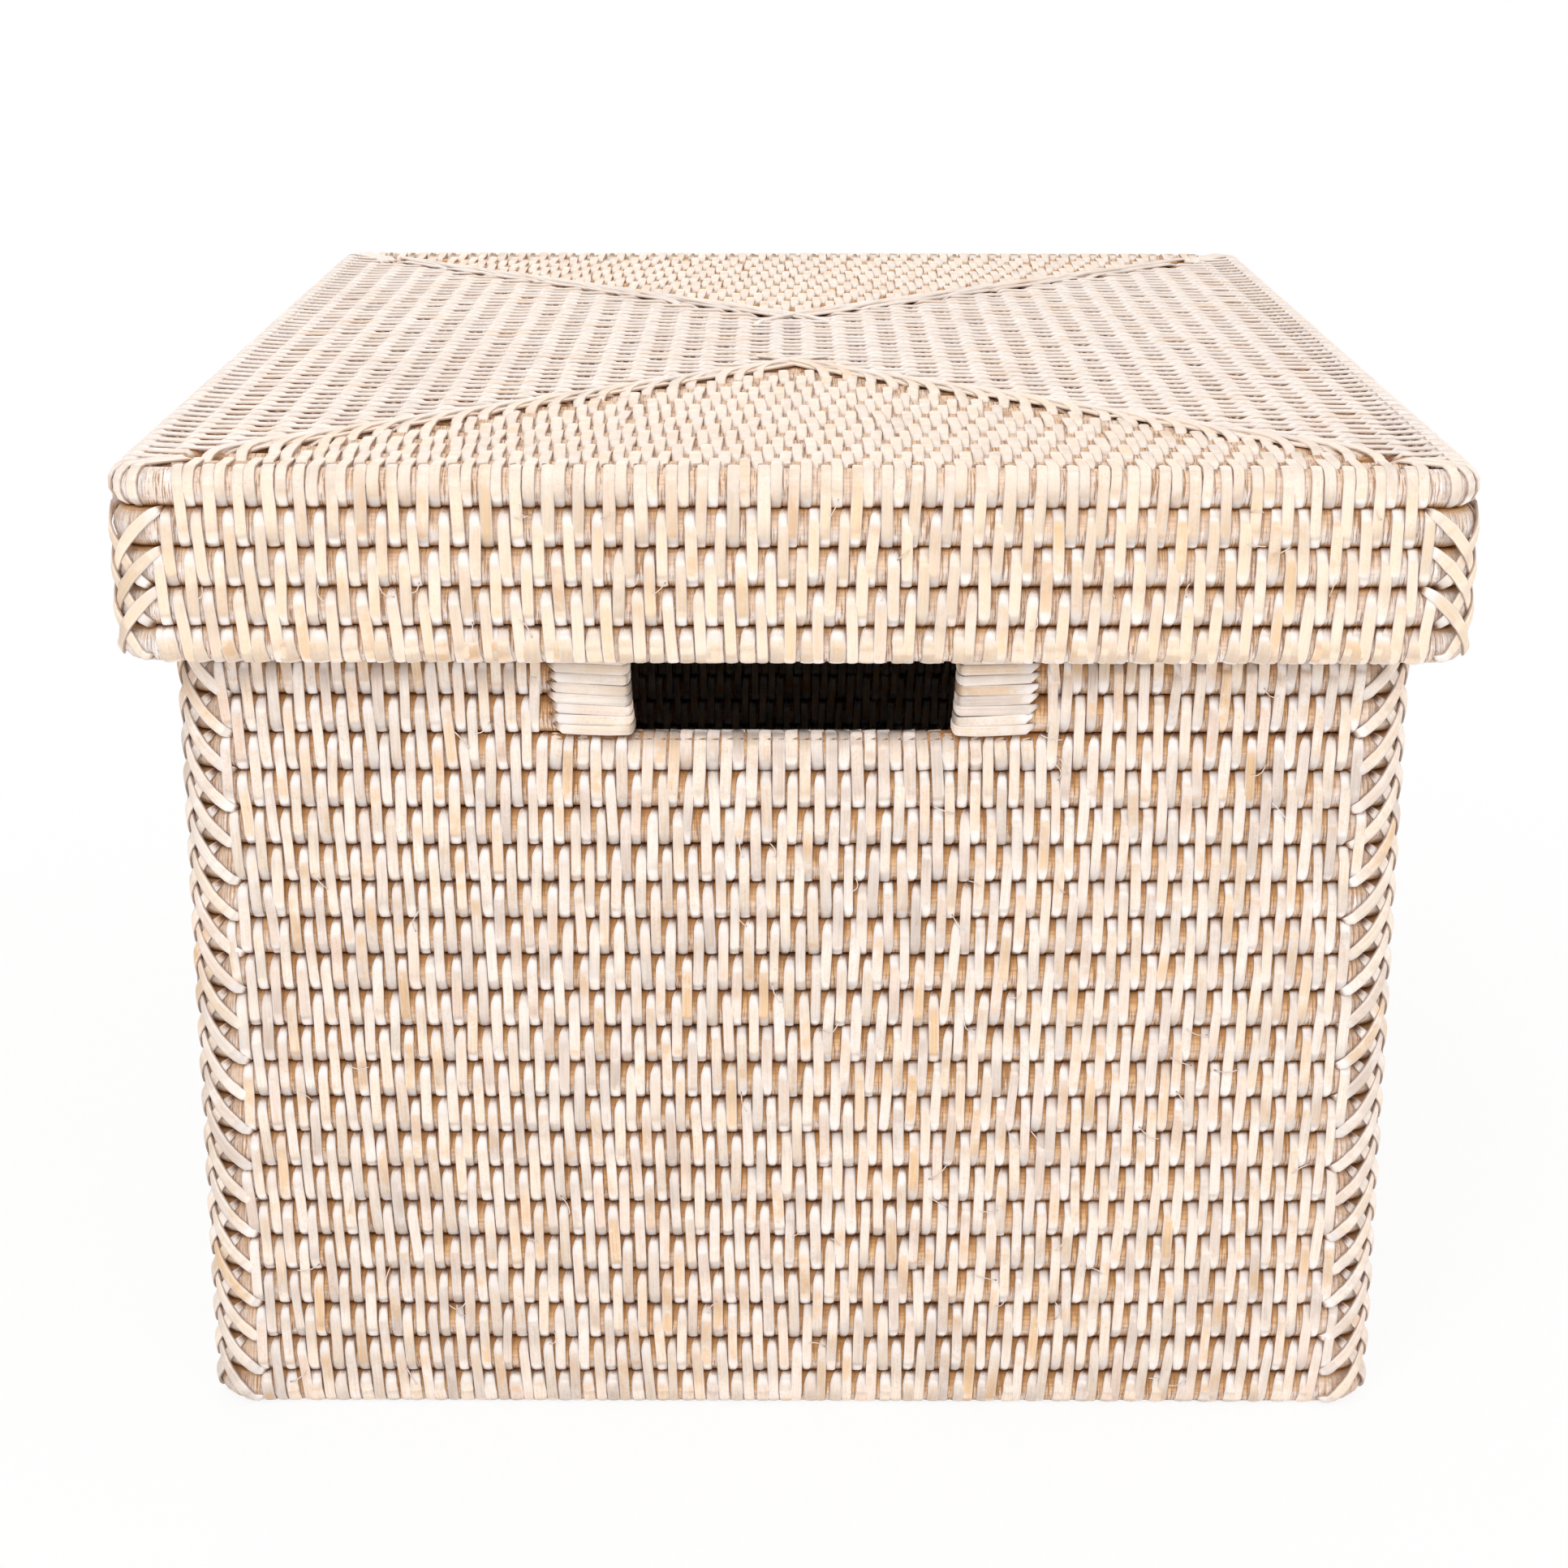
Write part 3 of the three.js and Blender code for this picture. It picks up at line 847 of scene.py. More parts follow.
def wall_weaver(name, half, seed, spacing, inward=False):
    """A weaver on one side of one wall, and how far its rows reach from the wall's middle"""
    size = sizes()
    inset = size.wall / 2
    side = wall_sides(half[0] - inset, half[1] - inset, inward)[name]
    reach = half[0] if name in ENDS else half[1]
    return Weaver(side, seed, spacing), reach - (size.wall + 4 * MM if inward else size.corner_reach)


def by_the_hole(upper, lower, reach):
    """Says whether a strip over these two rods would lie across a hand-hole or its bindings"""
    if any(abs(h - upper) < MM or abs(h - lower) < MM for h in CUT_HEIGHTS):
        return lambda u: abs(u) < CUT_END + reach
    return None


def weave_body_wall(name, inward):
    """The strips on one side of one wall of the body"""
    size = sizes()
    seed = BODY_SEED + FACES.index(name) * 2 + inward
    weaver, last = wall_weaver(name, BODY_HALF, seed, size.body_spacing, inward)
    rng = weaver.rng
    pitch = pitch_mm(BODY_HEIGHTS)
    # The long walls have the most strips, so each of theirs has fewer faces
    steps = 4 if name in ENDS else 3
    middles = long_strips(rng, pitch, 5 if inward else 12, inward, steps=steps)
    tops = long_strips(rng, pitch, 4, inward, over=True)
    bottoms = long_strips(rng, pitch, 4, inward, under=True)
    drift = size.drift * (-1 if inward else 1)
    has_hole = name in ENDS
    beside = size.wrap_reach + 1.8 * MM
    reach = CUT_END + beside
    # Each row of long strips spans one rod and the rod below it
    rows = list(zip(BODY_HEIGHTS, BODY_HEIGHTS[1:]))
    sill_row, lintel_row = BODY_HEIGHTS.index(SILL_HEIGHT), BODY_HEIGHTS.index(LINTEL_HEIGHT)
    for row, (upper, lower) in enumerate(rows):
        phase = -row * drift
        skip = by_the_hole(upper, lower, beside) if has_hole else None
        if row == 0:
            weaver.row(tops, upper, last, 0.0)
        elif row == len(rows) - 1:
            weaver.row(bottoms, upper, last, phase, fan=0.1)
        elif has_hole and row == sill_row:
            weaver.row(middles, upper, last, phase, lambda u: abs(u) < CUT_END)
            weaver.row(tops, upper, CUT_END, phase, width=1.2, fan=-0.05)
        else:
            weaver.row(middles, upper, last, phase, skip, span=pitch * MM)
        if skip and not inward:
            weaver.fill_beside(middles, upper, reach, phase)
    # Each rim and the sill keep the rows' order with strips round one rod
    starts = short_strips(rng, 4, inward, over=True)
    ends = short_strips(rng, 6, inward, under=True)
    weaver.row(starts, BODY_HEIGHTS[0], last, drift)
    weaver.row(ends, BODY_HEIGHTS[-1], last, -len(rows) * drift, width=1.22, fan=0.14)
    if has_hole:
        between = -sill_row * drift + weaver.spacing / 2
        weaver.row(starts, SILL_HEIGHT, reach, between, width=1.2, fan=-0.05)
        weaver.row(ends, LINTEL_HEIGHT, reach, -lintel_row * drift)
    if not inward:
        bare = (lambda u, v: abs(u) < reach and v > SILL_HEIGHT) if has_hole else None
        weaver.fibres(grooves_between(BODY_HEIGHTS), last, 70, bare)
    return weaver.placed


def weave_skirt(name, inward):
    """The strips on one side of the lid's skirt"""
    size = sizes()
    seed = SKIRT_SEED + FACES.index(name) * 2 + inward
    weaver, last = wall_weaver(name, LID_HALF, seed, size.lid_spacing, inward)
    rng = weaver.rng
    pitch = pitch_mm(LID_HEIGHTS)
    middles = long_strips(rng, pitch, 4 if inward else 12, inward)
    bottoms = long_strips(rng, pitch, 5, inward, under=True)
    ends = short_strips(rng, 6, inward, under=True)
    drift = size.drift * (-1 if inward else 1)
    rows = len(LID_HEIGHTS) - 1
    # The outside's first row belongs to the lid's edge
    for row in range(0 if inward else 1, rows):
        if row == rows - 1:
            weaver.row(bottoms, LID_HEIGHTS[row], last, -row * drift, width=1.09, fan=0.12)
        else:
            weaver.row(middles, LID_HEIGHTS[row], last, -row * drift, width=1.09, span=pitch * MM)
    # The rim is nearly covered: one wide strip round the last rod, and now and then a second
    weaver.row(ends, LID_HEIGHTS[-1], last, -rows * drift - 0.3 * MM, width=1.42, fan=0.16)
    seconds = short_strips(rng, 4, inward, under=True)
    skip = lambda u: noise.noise(Vector((u * 60, 2.2, 7.7))) < 0.05
    weaver.row(seconds, LID_HEIGHTS[-1], last, -(rows + 0.75) * drift, skip, 0.82, 0.16)
    if not inward:
        weaver.fibres(grooves_between(LID_HEIGHTS), last, 22)
    return weaver.placed


def grooves_between(heights):
    return [(upper + lower) / 2 for upper, lower in zip(heights, heights[1:])]


def edge_strips(rng, gap_v, gap_w, pitch, over_panel):
    """Strips at the lid's top edge, (v, w) of the panel's first rod measured from the edge rod"""
    made = []
    for _ in range(8):
        if over_panel:
            stations = [(gap_v + 2.6, -gap_w - 4.2, 0.8, -0.6), (gap_v + CREST, -gap_w - 1.0, 1, -0.1)]
            stations += [(gap_v + CREST, -gap_w + 1.5, 1, 0.1), (4.75, -2.6, 1, 0)]
            stations += arc(0, 92, 5, 5, CREST) + arc(0, -5, -SEAT, 3)
        else:
            stations = [(2.6, -4.2, 0.7, -0.6), *arc(0, 112, 5, 6, CREST)]
            stations += [(-pitch / 2, 4.8, 0, 1)] + arc(-pitch, -5, -SEAT, 4)
        made.append(shaped(stations, rng, 0.8))
    return made


def weave_edge(name):
    """The strips that come down over the lid's edge rod from its top"""
    size = sizes()
    weaver, last = wall_weaver(name, LID_HALF, EDGE_SEED + FACES.index(name), size.lid_spacing)
    axis = 1 if name in ENDS else 0
    panel_edge = float(max(abs(corner[axis]) for corner in node_box("lid_top_" + name)))
    gap_w = (LID_HALF[axis] - size.wall / 2 - panel_edge) / MM + PanelPlan("lid_top").pitch / MM / 2
    gap_v = (centre_height("lid_top_" + name) - LID_HEIGHTS[0]) / MM
    pitch = pitch_mm(LID_HEIGHTS)
    over = edge_strips(weaver.rng, gap_v, gap_w, pitch, True)
    down = edge_strips(weaver.rng, gap_v, gap_w, pitch, False)
    weaver.row(over, LID_HEIGHTS[0], last, size.drift, width=1.09, inset=3 * MM)
    weaver.row(down, LID_HEIGHTS[0], last, 0.0, width=1.13)
    return weaver.placed


# Panels: the lid's top and the floor


class PanelPlan:
    """Half sizes, middle height and rods of a panel, from its nodes"""

    def __init__(self, stem):
        inner, outer = node_box(stem + "_right")
        self.half_x = float(outer[0])
        self.half_y = -float(node_box(stem + "_front")[0][1])
        self.height = centre_height(stem + "_front")
        self.rods = PANEL_RODS[stem]
        self.pitch = (self.half_x - max(float(inner[0]), 0.0)) / self.rods

    def half_length(self, name):
        return self.half_x if name in ENDS else self.half_y

    def sides(self, under=False):
        return panel_sides(self.half_x, self.half_y, self.height, under)


def panel_rods(stem, body):
    """The rods of a panel's four parts, side by side, cut shorter row by row along the two mitres"""
    plan = PanelPlan(stem)
    waviness = sizes().waviness
    for name, side in plan.sides().items():
        bm = bmesh.new()
        for row in range(plan.rods):
            v = (row + 0.5) * plan.pitch
            reach = plan.half_length(name) - v + 4 * MM
            if reach < 1.5 * MM:
                continue
            steps = max(2, int(reach / (14 * MM)))
            points = []
            for k in range(steps + 1):
                u = -reach + 2 * reach * k / steps
                stray = waviness * noise.noise(Vector((u * 22, v * 60, 5.5)))
                points.append(Vector(side.origin + side.right * u + side.up * (v + stray)))
            mesh = rod_mesh(points)
            bm.from_mesh(mesh)
            bpy.data.meshes.remove(mesh)
        node = f"{stem}_{name}"
        mesh = bpy.data.meshes.new(node + "_rods")
        bm.to_mesh(mesh)
        bm.free()
        places = mesh_places(mesh)
        inward = (places - side.origin) @ side.up
        row = np.clip(np.round(inward / plan.pitch - 0.5), 0, plan.rods - 1)
        fit_rod(mesh, places, side.up, side.origin @ side.up + (row + 0.5) * plan.pitch, plan.pitch)
        show(node + "_rods", mesh, rod_finish("panel"), body, "rod", node)


def weave_panel(stem, name, under):
    """The strips on one mitred part of a panel, seen from above or from below"""
    size = sizes()
    plan = PanelPlan(stem)
    seed = PANEL_SEEDS[stem] + FACES.index(name) * 2 + under
    weaver = Weaver(plan.sides(under)[name], seed, size.lid_spacing)
    plain = stem == "floor" or under
    longs = long_strips(weaver.rng, plan.pitch / MM, 5 if plain else 10, plain)
    drift = size.drift * (-1 if under else 1)
    # The hooks of the mitres take the place of the outermost strips on the short sides
    margin = (2.5 if plain or name not in ENDS else 6.5) * MM
    # Where two parts meet, one row of strips is enough
    meets = name in ENDS or (stem, name) == ("lid_top", "left")
    for row in range(plan.rods - meets):
        v = (row + 1.5) * plan.pitch
        last = plan.half_length(name) - v - margin
        if last >= 0:
            weaver.row(longs, v, last, (row + 2) * drift, width=1.13, fan=0.0)
    return weaver.placed


# Corners


def corner_strip(rng, rise, side, radius, hand, tuck, low=-99.0, high=99.0):
    """A strip laced round a corner from one wall's groove to the other's, two rods up or down

    It lies over the other wall's strips on its own side, -1 or 1, and goes in nearer to the bend on the
    other, tuck mm from it. It is kept between low and high, on the flank of a rim's rod there."""
    reach, drop, count = 12.2, 20.0, 17
    first, last = (reach, tuck) if side < 0 else (tuck, reach)
    slow, fast = 0.22, 1.3 - 0.085 * tuck
    points, normals, widths = [], [], []
    flat = radius * math.pi / 4 + 4.9 * math.pi / 4
    for k in range(count):
        t = k / (count - 1)
        s = -first + (first + last) * t
        u = t if side < 0 else 1 - t
        ease = 3 * u * u - 2 * u**3 + slow * (u**3 - 2 * u * u + u) + fast * (u**3 - u * u)
        z = rise * drop * ((ease if side < 0 else 1 - ease) - 0.5)
        z = min(max(z, low), high)
        lift = 0.75 * min(max(0.5 + (s * side - side * 1.2) / 4, 0.0), 1.0)
        lift *= min(max(1 - (abs(s) - 4.5) / 4, 0.15), 1.0)
        s *= hand
        dive = max(0.0, 1 - min(t, 1 - t) / 0.12) ** 1.5
        w = (4.7 + lift) * (1 - dive) + 2.4 * dive
        slant = 0.0
        for rim, sign in ((low, -1), (high, 1)):
            off = max(0.0, (z - rim) * sign + 2.8)
            if off:
                w = min(w, math.sqrt(max(26 - off * off, 1)) + lift * 0.3)
                slant = sign * off / 5
        if abs(s) <= flat:
            angle = s / flat * math.pi / 4 - math.pi / 4
            out = Vector((math.cos(angle), math.sin(angle), 0))
            place = out * (radius + w)
        elif s < 0:
            out = Vector((0, -1, 0))
            place = Vector((s + flat, -radius - w, 0))
        else:
            out = Vector((1, 0, 0))
            place = Vector((radius + w, s - flat, 0))
        place.z = z
        points.append(place * MM)
        normals.append((out + Vector((0, 0, slant))).normalized())
        taper = 1 - 0.25 * max(0.0, 1 - min(t, 1 - t) / 0.3) - 0.35 * dive
        widths.append(sizes().strip_width * 1.2 * taper * (1 + rng.uniform(-0.06, 0.06)))
    return sweep(points, normals, widths)


def corner_cap(rng, step, radius, top_drop):
    """A strip that comes off the mitre, over the edge rod's bend and down the lid's corner"""
    diagonal = Vector((math.cos(math.radians(-45)), math.sin(math.radians(-45)), 0))
    aside = Vector((-diagonal.y, diagonal.x, 0))
    angle = math.radians(-45 + step * 26)
    out = Vector((math.cos(angle), math.sin(angle), 0))
    start = diagonal * -13 + aside * step * 2.4
    points, normals = [], []
    for share in (0.0, 0.3, 0.6):
        flat = start.lerp(out * (radius - 2), share)
        points.append(flat + Vector((0, 0, 4.9 - top_drop * (1 - share) - (1.8 if share == 0 else 0))))
        normals.append(Vector((0, 0, 1)))
    for turn in (100, 70, 40, 15, -15, -40, -SEAT):
        a = math.radians(turn)
        points.append(out * (radius + 4.9 * math.cos(a)) + Vector((0, 0, 5.1 * math.sin(a))))
        normals.append(out * math.cos(a) + Vector((0, 0, math.sin(a))))
    count = len(points)
    bow = rng.uniform(-0.5, 0.5)
    across = Vector((-out.y, out.x, 0))
    placed = [(p + across * bow * math.sin(math.pi * k / (count - 1))) * MM for k, p in enumerate(points)]
    widths = [sizes().strip_width * (0.75 if k in (0, count - 1) else 1.05) for k in range(count)]
    return sweep(placed, normals, widths)


def end_turn(name):
    """The turn from the front to a corner's own end, and 1 or -1 by the side of that end it is on"""
    back, right = name.startswith("back"), name.endswith("right")
    return Matrix.Rotation(math.pi if back else 0, 4, "Z"), 1 if right != back else -1


def moved(x, y, z):
    return Matrix.Translation((x, y, z))


def laid(strip, matrix, rng):
    """A strip as lay_strips takes it, with a tone of its own"""
    return strip, np.array(matrix), float(rng.random())


def lace_corner(name, half, heights, seed, capped=False):
    """All the lacing of one corner: each wall's own strips lie over the other wall's on that side"""
    rng = np.random.default_rng(seed)
    inset = sizes().wall / 2
    x, y = (h - inset - sizes().bend for h in half)
    quarter = math.radians(90 * CORNERS.index(name))
    place = moved(x if name.endswith("right") else -x, y if name.startswith("back") else -y, 0)
    place = place @ Matrix.Rotation(quarter, 4, "Z")
    hand = end_turn(name)[1]
    radius = sizes().bend / MM
    grooves = grooves_between(heights)
    lowest, highest = heights[-1] - 2.5 * MM, heights[0] + 2.8 * MM
    # The lid's strips lean the other way than the body's
    ways, tuck = ({1: 1, -1: -1}, 8.5) if capped else ({1: -1, -1: 1}, 6.2)
    kinds = {}
    for rise, side in ways.items():
        kinds[rise] = [corner_strip(rng, rise, side, radius, hand, tuck) for _ in range(5)]
    placed = []
    for index, groove in enumerate(grooves):
        if capped and index == 0:
            continue
        for rise, side in ways.items():
            height = groove + rng.normal(0, 0.25) * MM
            if 0 < index < len(grooves) - 1:
                strip = pick(rng, kinds[rise])
            else:
                low, high = (lowest - height) / MM, (highest - height) / MM
                strip = corner_strip(rng, rise, side, radius, hand, tuck, low, high)
            placed.append(laid(strip, moved(0, 0, height) @ place, rng))
    if capped:
        top_drop = (heights[0] - PanelPlan("lid_top").height) / MM
        for step in (-1, 0, 1):
            cap = corner_cap(rng, step, radius, top_drop)
            placed.append(laid(cap, moved(0, 0, heights[0]) @ place, rng))
    return placed


# Bindings of the hand-holes


def jamb_wrap(rng, reach, height, low=False):
    """One wrap round the cut ends of the rods: along the outside, round the hole's edge and back inside"""
    flat = [(-reach, 4.3), (-reach + 0.9, 5.1), (-reach + 2.4, 5.6), (-reach * 0.62, 5.75), (-reach * 0.3, 5.7)]
    path = [(u, w, 0, 1) for u, w in flat]
    for k in range(7):
        angle = math.radians(90 - 30 * k)
        path.append((1.3 * math.cos(angle) - 1.3, 5.6 * math.sin(angle), math.cos(angle), math.sin(angle)))
    path += [(u, -w, 0, -1) for u, w in reversed(flat)]
    points, normals, widths = [], [], []
    slope = -0.45 + rng.uniform(-0.2, 0.2)
    trim = rng.uniform(-0.4, 0.4)
    for u, w, normal_u, normal_w in path:
        end = max(0.0, 1 - (reach + u) / 2.4)
        v = slope * (1 + u / reach * 2) + 0.36 * end * height / MM
        if low:
            v += 0.5 * max(0.0, 1 + u / reach * 2.4) ** 2
        at_end = trim if abs(u) > reach * 0.85 else 0.0
        points.append(Vector((u + at_end, v, w + rng.uniform(-0.08, 0.08))) * MM)
        normals.append((normal_u, 0, normal_w))
        widths.append(height * (1.0 - 0.75 * end) * (1 + rng.uniform(-0.03, 0.02)))
    return sweep(points, normals, widths, [0.9 * MM] * len(path))


def bind_hole(name, seed):
    """The wraps on one side of one hand-hole, from the sill up"""
    size = sizes()
    rng = np.random.default_rng(seed)
    middle = BODY_HALF[1] - size.wall / 2
    edge = CUT_END - 1.1 * MM
    low = CUT_HEIGHTS[-1] - size.wall / 2 + 0.5 * MM
    high = CUT_HEIGHTS[0] + size.wall / 2 - 0.6 * MM
    count = max(1, round((high - low) / size.wrap_height))
    turned, mirror = end_turn(name)
    # A wrap on the other side of the hole is turned over, which also turns its ends
    flip = Matrix.Identity(4) if mirror < 0 else Matrix.Rotation(math.pi, 4, "Y")
    stand = Matrix(((1, 0, 0, 0), (0, 0, -1, 0), (0, 1, 0, 0), (0, 0, 0, 1)))
    placed = []
    for k in range(count):
        height = low + (k + 0.5) * (high - low) / count
        wrap = jamb_wrap(rng, size.wrap_reach / MM, (high - low) / count, k == 0)
        inner = edge - 1.3 * MM * (1 - k / count) ** 3
        placed.append(laid(wrap, turned @ moved(mirror * inner, -middle, height) @ stand @ flip, rng))
    return placed


# Mitres of the lid's top

# Where a hooked strip runs, in mm: x along the end, y towards its middle, w up from the rods' middles
HOOK = (
    (-17.0, 18.2, 3.6),
    (-13.5, 14.7, 5.2),
    (-8.5, 9.8, 5.7),
    (-3.5, 4.6, 6.0),
    (0.8, -0.4, 6.1),
    (4.0, -5.0, 6.0),
    (5.9, -9.4, 5.6),
    (6.6, -13.0, 5.3),
    (6.8, -16.2, 4.6),
    (6.8, -18.6, 2.4),
)


def mitre_strip(rng, flip):
    """A strip that comes along a mitre and then hooks over the end part's rods"""
    points, widths = [], []
    bow = rng.uniform(-0.7, 0.7)
    for k, (x, y, w) in enumerate(HOOK):
        share = k / (len(HOOK) - 1)
        push = bow * math.sin(math.pi * share)
        points.append(Vector(((x + push) * flip, y + push, w + rng.uniform(-0.06, 0.1))) * MM)
        ends = 1 - 0.6 * max(0.0, 1 - share / 0.2) - 0.1 * max(0.0, (share - 0.85) / 0.15)
        widths.append(sizes().strip_width * 1.11 * ends * (1 + rng.uniform(-0.05, 0.05)))
    return sweep(points, [(0, 0, 1)] * len(points), widths)


def mitre_run(rng):
    """A strip that lies along a mitre, both ends tucked in"""
    points, widths = [], []
    bow = rng.uniform(-0.8, 0.8)
    for k in range(10):
        share = k / 9
        tuck = max(0.0, 1 - min(share, 1 - share) / 0.15)
        side = bow * math.sin(math.pi * share * 2)
        points.append(Vector(((share - 0.5) * 38.0, side, 5.35 - 2.4 * tuck + rng.uniform(-0.08, 0.08))) * MM)
        widths.append(sizes().strip_width * (1.15 - 0.5 * tuck) * (1 + rng.uniform(-0.06, 0.06)))
    return sweep(points, [(0, 0, 1)] * len(points), widths)


def bind_mitre(name, seed):
    """The strips along one mitre, from the apex out to the corner"""
    rng = np.random.default_rng(seed)
    plan = PanelPlan("lid_top")
    turned, flip = end_turn(name)
    apex = plan.half_y - plan.half_x
    placed = []
    # Strips side by side under the hooks
    runs = [mitre_run(rng) for _ in range(6)]
    along = 10.0 * MM
    while along < plan.half_x - 18 * MM:
        for aside in (-2.7, 0.2, 3.0):
            at = along + rng.uniform(-4, 4) * MM
            spot = moved(at * flip, -apex - at, plan.height + rng.uniform(-0.15, 0.1) * MM)
            turn = Matrix.Rotation(math.radians(-45 if flip > 0 else -135) + rng.normal(0, 0.02), 4, "Z")
            placed.append(laid(pick(rng, runs), turned @ spot @ turn @ moved(0, aside * MM, 0), rng))
        along += 17 * MM
    hooks = [mitre_strip(rng, flip) for _ in range(6)]
    spacing = plan.pitch * 0.62
    for step in range(int((plan.half_x - 16 * MM) / spacing)):
        out = 3 * MM + step * spacing
        tilt = Matrix.Rotation(rng.normal(0, 0.05), 4, "Z")
        spot = moved(out * flip, -apex - out, plan.height)
        placed.append(laid(pick(rng, hooks), turned @ spot @ tilt, rng))
    return placed


# Operators


class WOVENBOX_OT_body_rods(Operator):
    """Lay the body's wall rods, one for each course"""

    bl_idname = "wovenbox.body_rods"
    bl_label = "Body Rods"

    def execute(self, context):
        for seed, node in enumerate(BODY_RINGS + BODY_HALVES):
            make_ring(node, "box_body", seed)
        return {"FINISHED"}


class WOVENBOX_OT_body_stitches(Operator):
    """Lash the body's rods with peel strips, outside and inside"""

    bl_idname = "wovenbox.body_stitches"
    bl_label = "Body Stitches"

    def execute(self, context):
        for name in FACES:
            for side, inward in (("outer", False), ("inner", True)):
                lay_strips(f"body_{side}_stitches_{name}", weave_body_wall(name, inward), "box_body")
        return {"FINISHED"}


class WOVENBOX_OT_body_corners(Operator):
    """Lace the body's four corners"""

    bl_idname = "wovenbox.body_corners"
    bl_label = "Body Corners"

    def execute(self, context):
        for seed, name in enumerate(CORNERS, BODY_CORNER_SEED):
            placed = lace_corner(name, BODY_HALF, BODY_HEIGHTS, seed)
            lay_strips("body_corner_strips_" + name, placed, "box_body", "body_corner_lacing_" + name)
        return {"FINISHED"}


class WOVENBOX_OT_hand_holes(Operator):
    """Wrap the cut ends of the rods beside both hand-holes"""

    bl_idname = "wovenbox.hand_holes"
    bl_label = "Hand-hole Bindings"

    def execute(self, context):
        for seed, name in enumerate(CORNERS, HOLE_SEED):
            lay_strips("hand_hole_wraps_" + name, bind_hole(name, seed), "box_body", "hand_hole_binding_" + name)
        return {"FINISHED"}


class WOVENBOX_OT_floor(Operator):
    """Lay and lash the floor"""

    bl_idname = "wovenbox.floor"
    bl_label = "Floor"

    def execute(self, context):
        plan = PanelPlan("floor")
        panel_rods("floor", "box_body")
        reach = float(node_box("floor_spine")[1][1]) - 1.5 * MM
        mesh = rod_mesh([Vector((0, -reach + 2 * reach * k / 8, plan.height)) for k in range(9)])
        fit_rod(mesh, mesh_places(mesh), np.array((1.0, 0.0, 0.0)), 0.0, plan.pitch)
        show("floor_spine_rod", mesh, rod_finish("body"), "box_body", "rod", "floor_spine")
        for side, under in (("top", False), ("under", True)):
            placed = [strip for name in FACES for strip in weave_panel("floor", name, under)]
            lay_strips("floor_stitches_" + side, placed, "box_body")
        return {"FINISHED"}


class WOVENBOX_OT_lid_rods(Operator):
    """Lay the lid's edge rod, its skirt rods and the rods of its top"""

    bl_idname = "wovenbox.lid_rods"
    bl_label = "Lid Rods"

    def execute(self, context):
        for seed, node in enumerate(LID_RINGS, 70):
            make_ring(node, "lid", seed)
        panel_rods("lid_top", "lid")
        return {"FINISHED"}


class WOVENBOX_OT_lid_stitches(Operator):
    """Lash the lid's skirt, edge and top with peel strips, outside and inside"""

    bl_idname = "wovenbox.lid_stitches"
    bl_label = "Lid Stitches"

    def execute(self, context):
        inner = []
        for name in FACES:
            lay_strips("lid_skirt_stitches_" + name, weave_skirt(name, False) + weave_edge(name), "lid")
            lay_strips("lid_top_stitches_" + name, weave_panel("lid_top", name, False), "lid")
            inner += weave_skirt(name, True) + weave_panel("lid_top", name, True)
        lay_strips("lid_inner_stitches", inner, "lid", "lid_ridge_binding")
        return {"FINISHED"}


class WOVENBOX_OT_lid_mitres(Operator):
    """Lay the overlapping strips along the mitres of the lid's top"""

    bl_idname = "wovenbox.lid_mitres"
    bl_label = "Lid Mitres"

    def execute(self, context):
        for seed, name in enumerate(CORNERS, MITRE_SEED):
            lay_strips("lid_mitre_strips_" + name, bind_mitre(name, seed), "lid", "lid_mitre_binding_" + name)
        return {"FINISHED"}


class WOVENBOX_OT_lid_corners(Operator):
    """Lace the lid's four corners"""

    bl_idname = "wovenbox.lid_corners"
    bl_label = "Lid Corners"

    def execute(self, context):
        for seed, name in enumerate(CORNERS, LID_CORNER_SEED):
            placed = lace_corner(name, LID_HALF, LID_HEIGHTS, seed, True)
            lay_strips("lid_corner_strips_" + name, placed, "lid", "lid_corner_lacing_" + name)
        return {"FINISHED"}


# Name, place, width and height in metres, and power in watts of each lamp; all point at the box's middle
LAMPS = (
    ("key_lamp", (-0.75, -1.9, 1.9), 1.6, 1.2, 26.0),
    ("fill_lamp", (1.3, -1.7, 1.1), 1.4, 1.2, 7.5),
    ("top_lamp", (0.1, 0.5, 2.2), 1.6, 1.6, 5.3),
    ("side_lamp", (2.3, 0.5, 0.8), 1.6, 1.2, 9.5),
    ("back_lamp", (-0.6, 2.4, 0.9), 1.6, 1.2, 14.0),
)
LAMP_TARGET = (0, -0.1, 0.13)
CAMERA_PLACE = (-0.00216, -0.96021, 0.40283)
# Degrees down, to the right and clockwise
CAMERA_ANGLES = (16.675, -0.012, -0.1)
CAMERA_LENS = 70.713


def add_lamp(name, place, width, height, power):
    data = bpy.data.lights.new(name, "AREA")
    data.shape = "RECTANGLE"
    data.size, data.size_y = width, height
    data.energy = power
    lamp = bpy.data.objects.new(name, data)
    bpy.context.scene.collection.objects.link(lamp)
    lamp.location = place
    lamp.rotation_euler = (Vector(LAMP_TARGET) - Vector(place)).to_track_quat("-Z", "Y").to_euler()


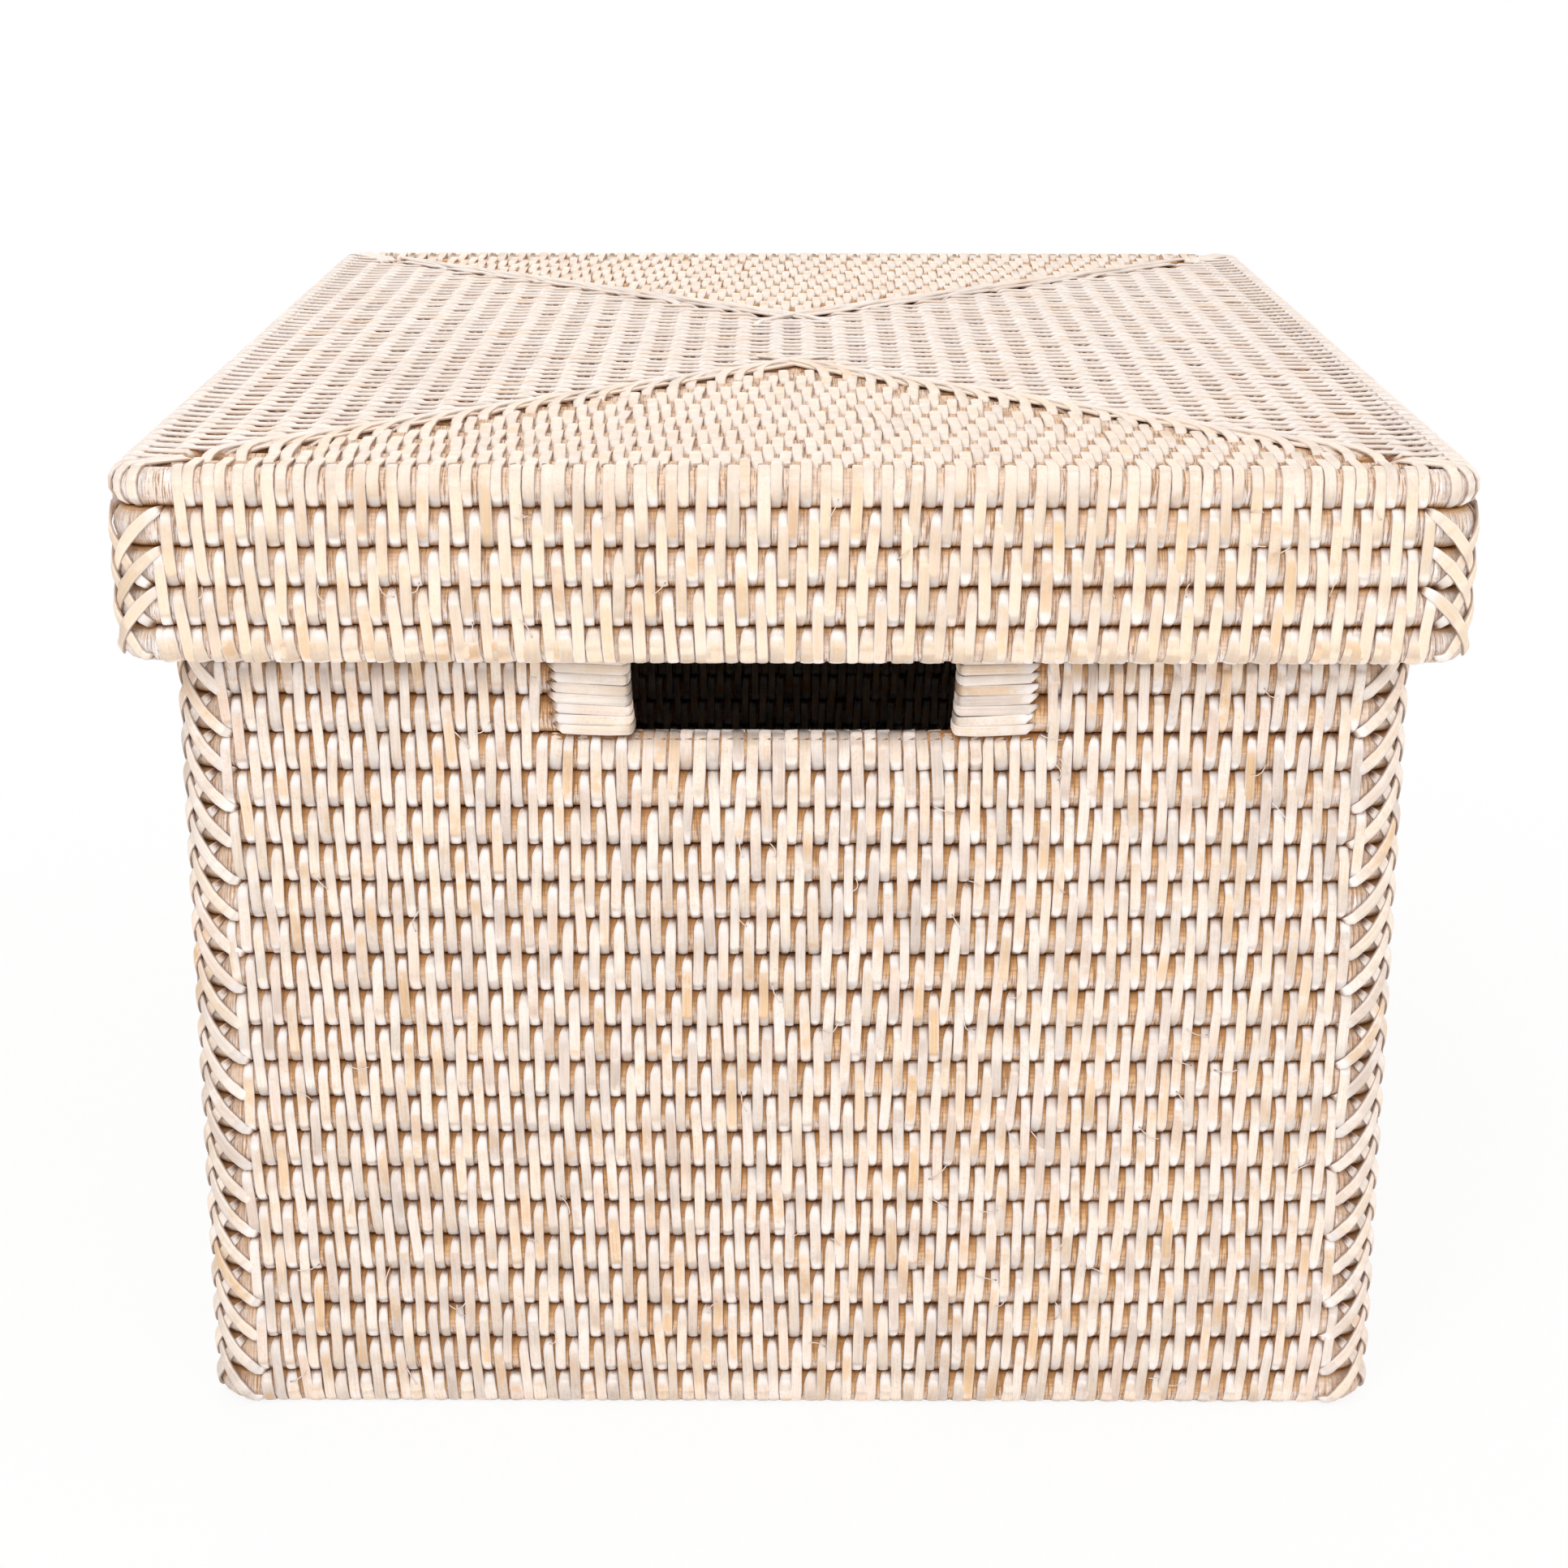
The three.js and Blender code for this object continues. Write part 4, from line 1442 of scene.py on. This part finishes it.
def add_camera(scene):
    data = bpy.data.cameras.new("view_camera")
    data.sensor_width = 36.0
    data.lens = CAMERA_LENS
    camera = bpy.data.objects.new("view_camera", data)
    scene.collection.objects.link(camera)
    pitch, yaw, roll = (math.radians(a) for a in CAMERA_ANGLES)
    forward = Vector((math.sin(yaw) * math.cos(pitch), math.cos(yaw) * math.cos(pitch), -math.sin(pitch)))
    right = Vector((math.cos(yaw), -math.sin(yaw), 0))
    down = forward.cross(right)
    turned_right = right * math.cos(roll) + down * math.sin(roll)
    turned_down = down * math.cos(roll) - right * math.sin(roll)
    turn = Matrix((turned_right, -turned_down, -forward)).transposed().to_4x4()
    camera.matrix_world = Matrix.Translation(CAMERA_PLACE) @ turn
    scene.camera = camera


def seen_directly(net):
    """1 for what the camera sees straight, in a mirror or through glass"""
    path = net.tree.nodes.new("ShaderNodeLightPath").outputs
    mirrored = net.math("MAXIMUM", path["Is Camera Ray"], path["Is Glossy Ray"])
    return net.math("MAXIMUM", mirrored, path["Is Transmission Ray"])


def floor_finish():
    """A pale floor that turns to the plain white of the surroundings away from the box"""
    finish, net, shader = new_finish("Pale Floor")
    place = net.object_place()
    level = net.ramp(net.noise(place, 600.0, 2.0), 0.3, 0.7, 0.98, 1.0)
    net.feed(shader.inputs["Base Color"], net.coat((0.9, 0.9, 0.9), colours().floor, level))
    net.feed(shader.inputs["Roughness"], 0.9)
    net.feed(shader.inputs["Specular IOR Level"], 0.1)
    glow = net.node("ShaderNodeEmission", {"Color": (1, 1, 1, 1), "Strength": 1.0})
    away = net.node("ShaderNodeVectorMath", {0: place}, output=1, operation="LENGTH")
    share = net.times(seen_directly(net), net.ramp(away, 0.28, 0.6, 0.88, 1.0))
    blend = net.node("ShaderNodeMixShader", {0: share, 1: shader.outputs[0], 2: glow})
    end = next(n for n in net.tree.nodes if n.type == "OUTPUT_MATERIAL")
    net.feed(end.inputs["Surface"], blend)
    return finish


class WOVENBOX_OT_stage(Operator):
    """Set up the floor, the light, the white surroundings and the camera"""

    bl_idname = "wovenbox.stage"
    bl_label = "Stage"

    def execute(self, context):
        scene = context.scene
        bm = bmesh.new()
        bmesh.ops.create_grid(bm, x_segments=8, y_segments=8, size=4.0)
        mesh = bpy.data.meshes.new("stage_floor")
        bm.to_mesh(mesh)
        bm.free()
        new_piece("stage_floor", mesh, floor_finish())
        world = bpy.data.worlds.new("Surroundings")
        world.use_nodes = True
        scene.world = world
        net = Net(world.node_tree)
        light = next(n for n in world.node_tree.nodes if n.type == "BACKGROUND")
        net.feed(light.inputs["Color"], (1, 1, 1, 1))
        # Plain white to the eye, but weaker as a light
        net.feed(light.inputs["Strength"], net.ramp(seen_directly(net), 0.0, 1.0, 0.6, 1.0))
        for lamp in LAMPS:
            add_lamp(*lamp)
        add_camera(scene)
        scene.view_settings.view_transform = "Standard"
        return {"FINISHED"}


STEPS = (
    WOVENBOX_OT_body_rods,
    WOVENBOX_OT_body_stitches,
    WOVENBOX_OT_body_corners,
    WOVENBOX_OT_hand_holes,
    WOVENBOX_OT_floor,
    WOVENBOX_OT_lid_rods,
    WOVENBOX_OT_lid_stitches,
    WOVENBOX_OT_lid_mitres,
    WOVENBOX_OT_lid_corners,
    WOVENBOX_OT_stage,
)


class WOVENBOX_PT_panel(Panel):
    """The box's steps and settings in the sidebar"""

    bl_idname = "WOVENBOX_PT_panel"
    bl_label = "Woven Lidded Box"
    bl_space_type = "VIEW_3D"
    bl_region_type = "UI"
    bl_category = "Woven Box"

    def draw(self, context):
        layout = self.layout
        for group in (context.scene.weave_sizes, context.scene.weave_colours):
            column = layout.column(align=True)
            for name in group.__annotations__:
                column.prop(group, name)
        for step in STEPS:
            layout.operator(step.bl_idname)


CLASSES = (WeaveSizes, WeaveColours, *STEPS, WOVENBOX_PT_panel)


def register():
    for each in CLASSES:
        bpy.utils.register_class(each)
    bpy.types.Scene.weave_sizes = PointerProperty(type=WeaveSizes)
    bpy.types.Scene.weave_colours = PointerProperty(type=WeaveColours)


def unregister():
    del bpy.types.Scene.weave_colours
    del bpy.types.Scene.weave_sizes
    for each in reversed(CLASSES):
        bpy.utils.unregister_class(each)


def main():
    register()
    for step in STEPS:
        group, name = step.bl_idname.split(".")
        getattr(getattr(bpy.ops, group), name)()


if __name__ == "__main__":
    main()
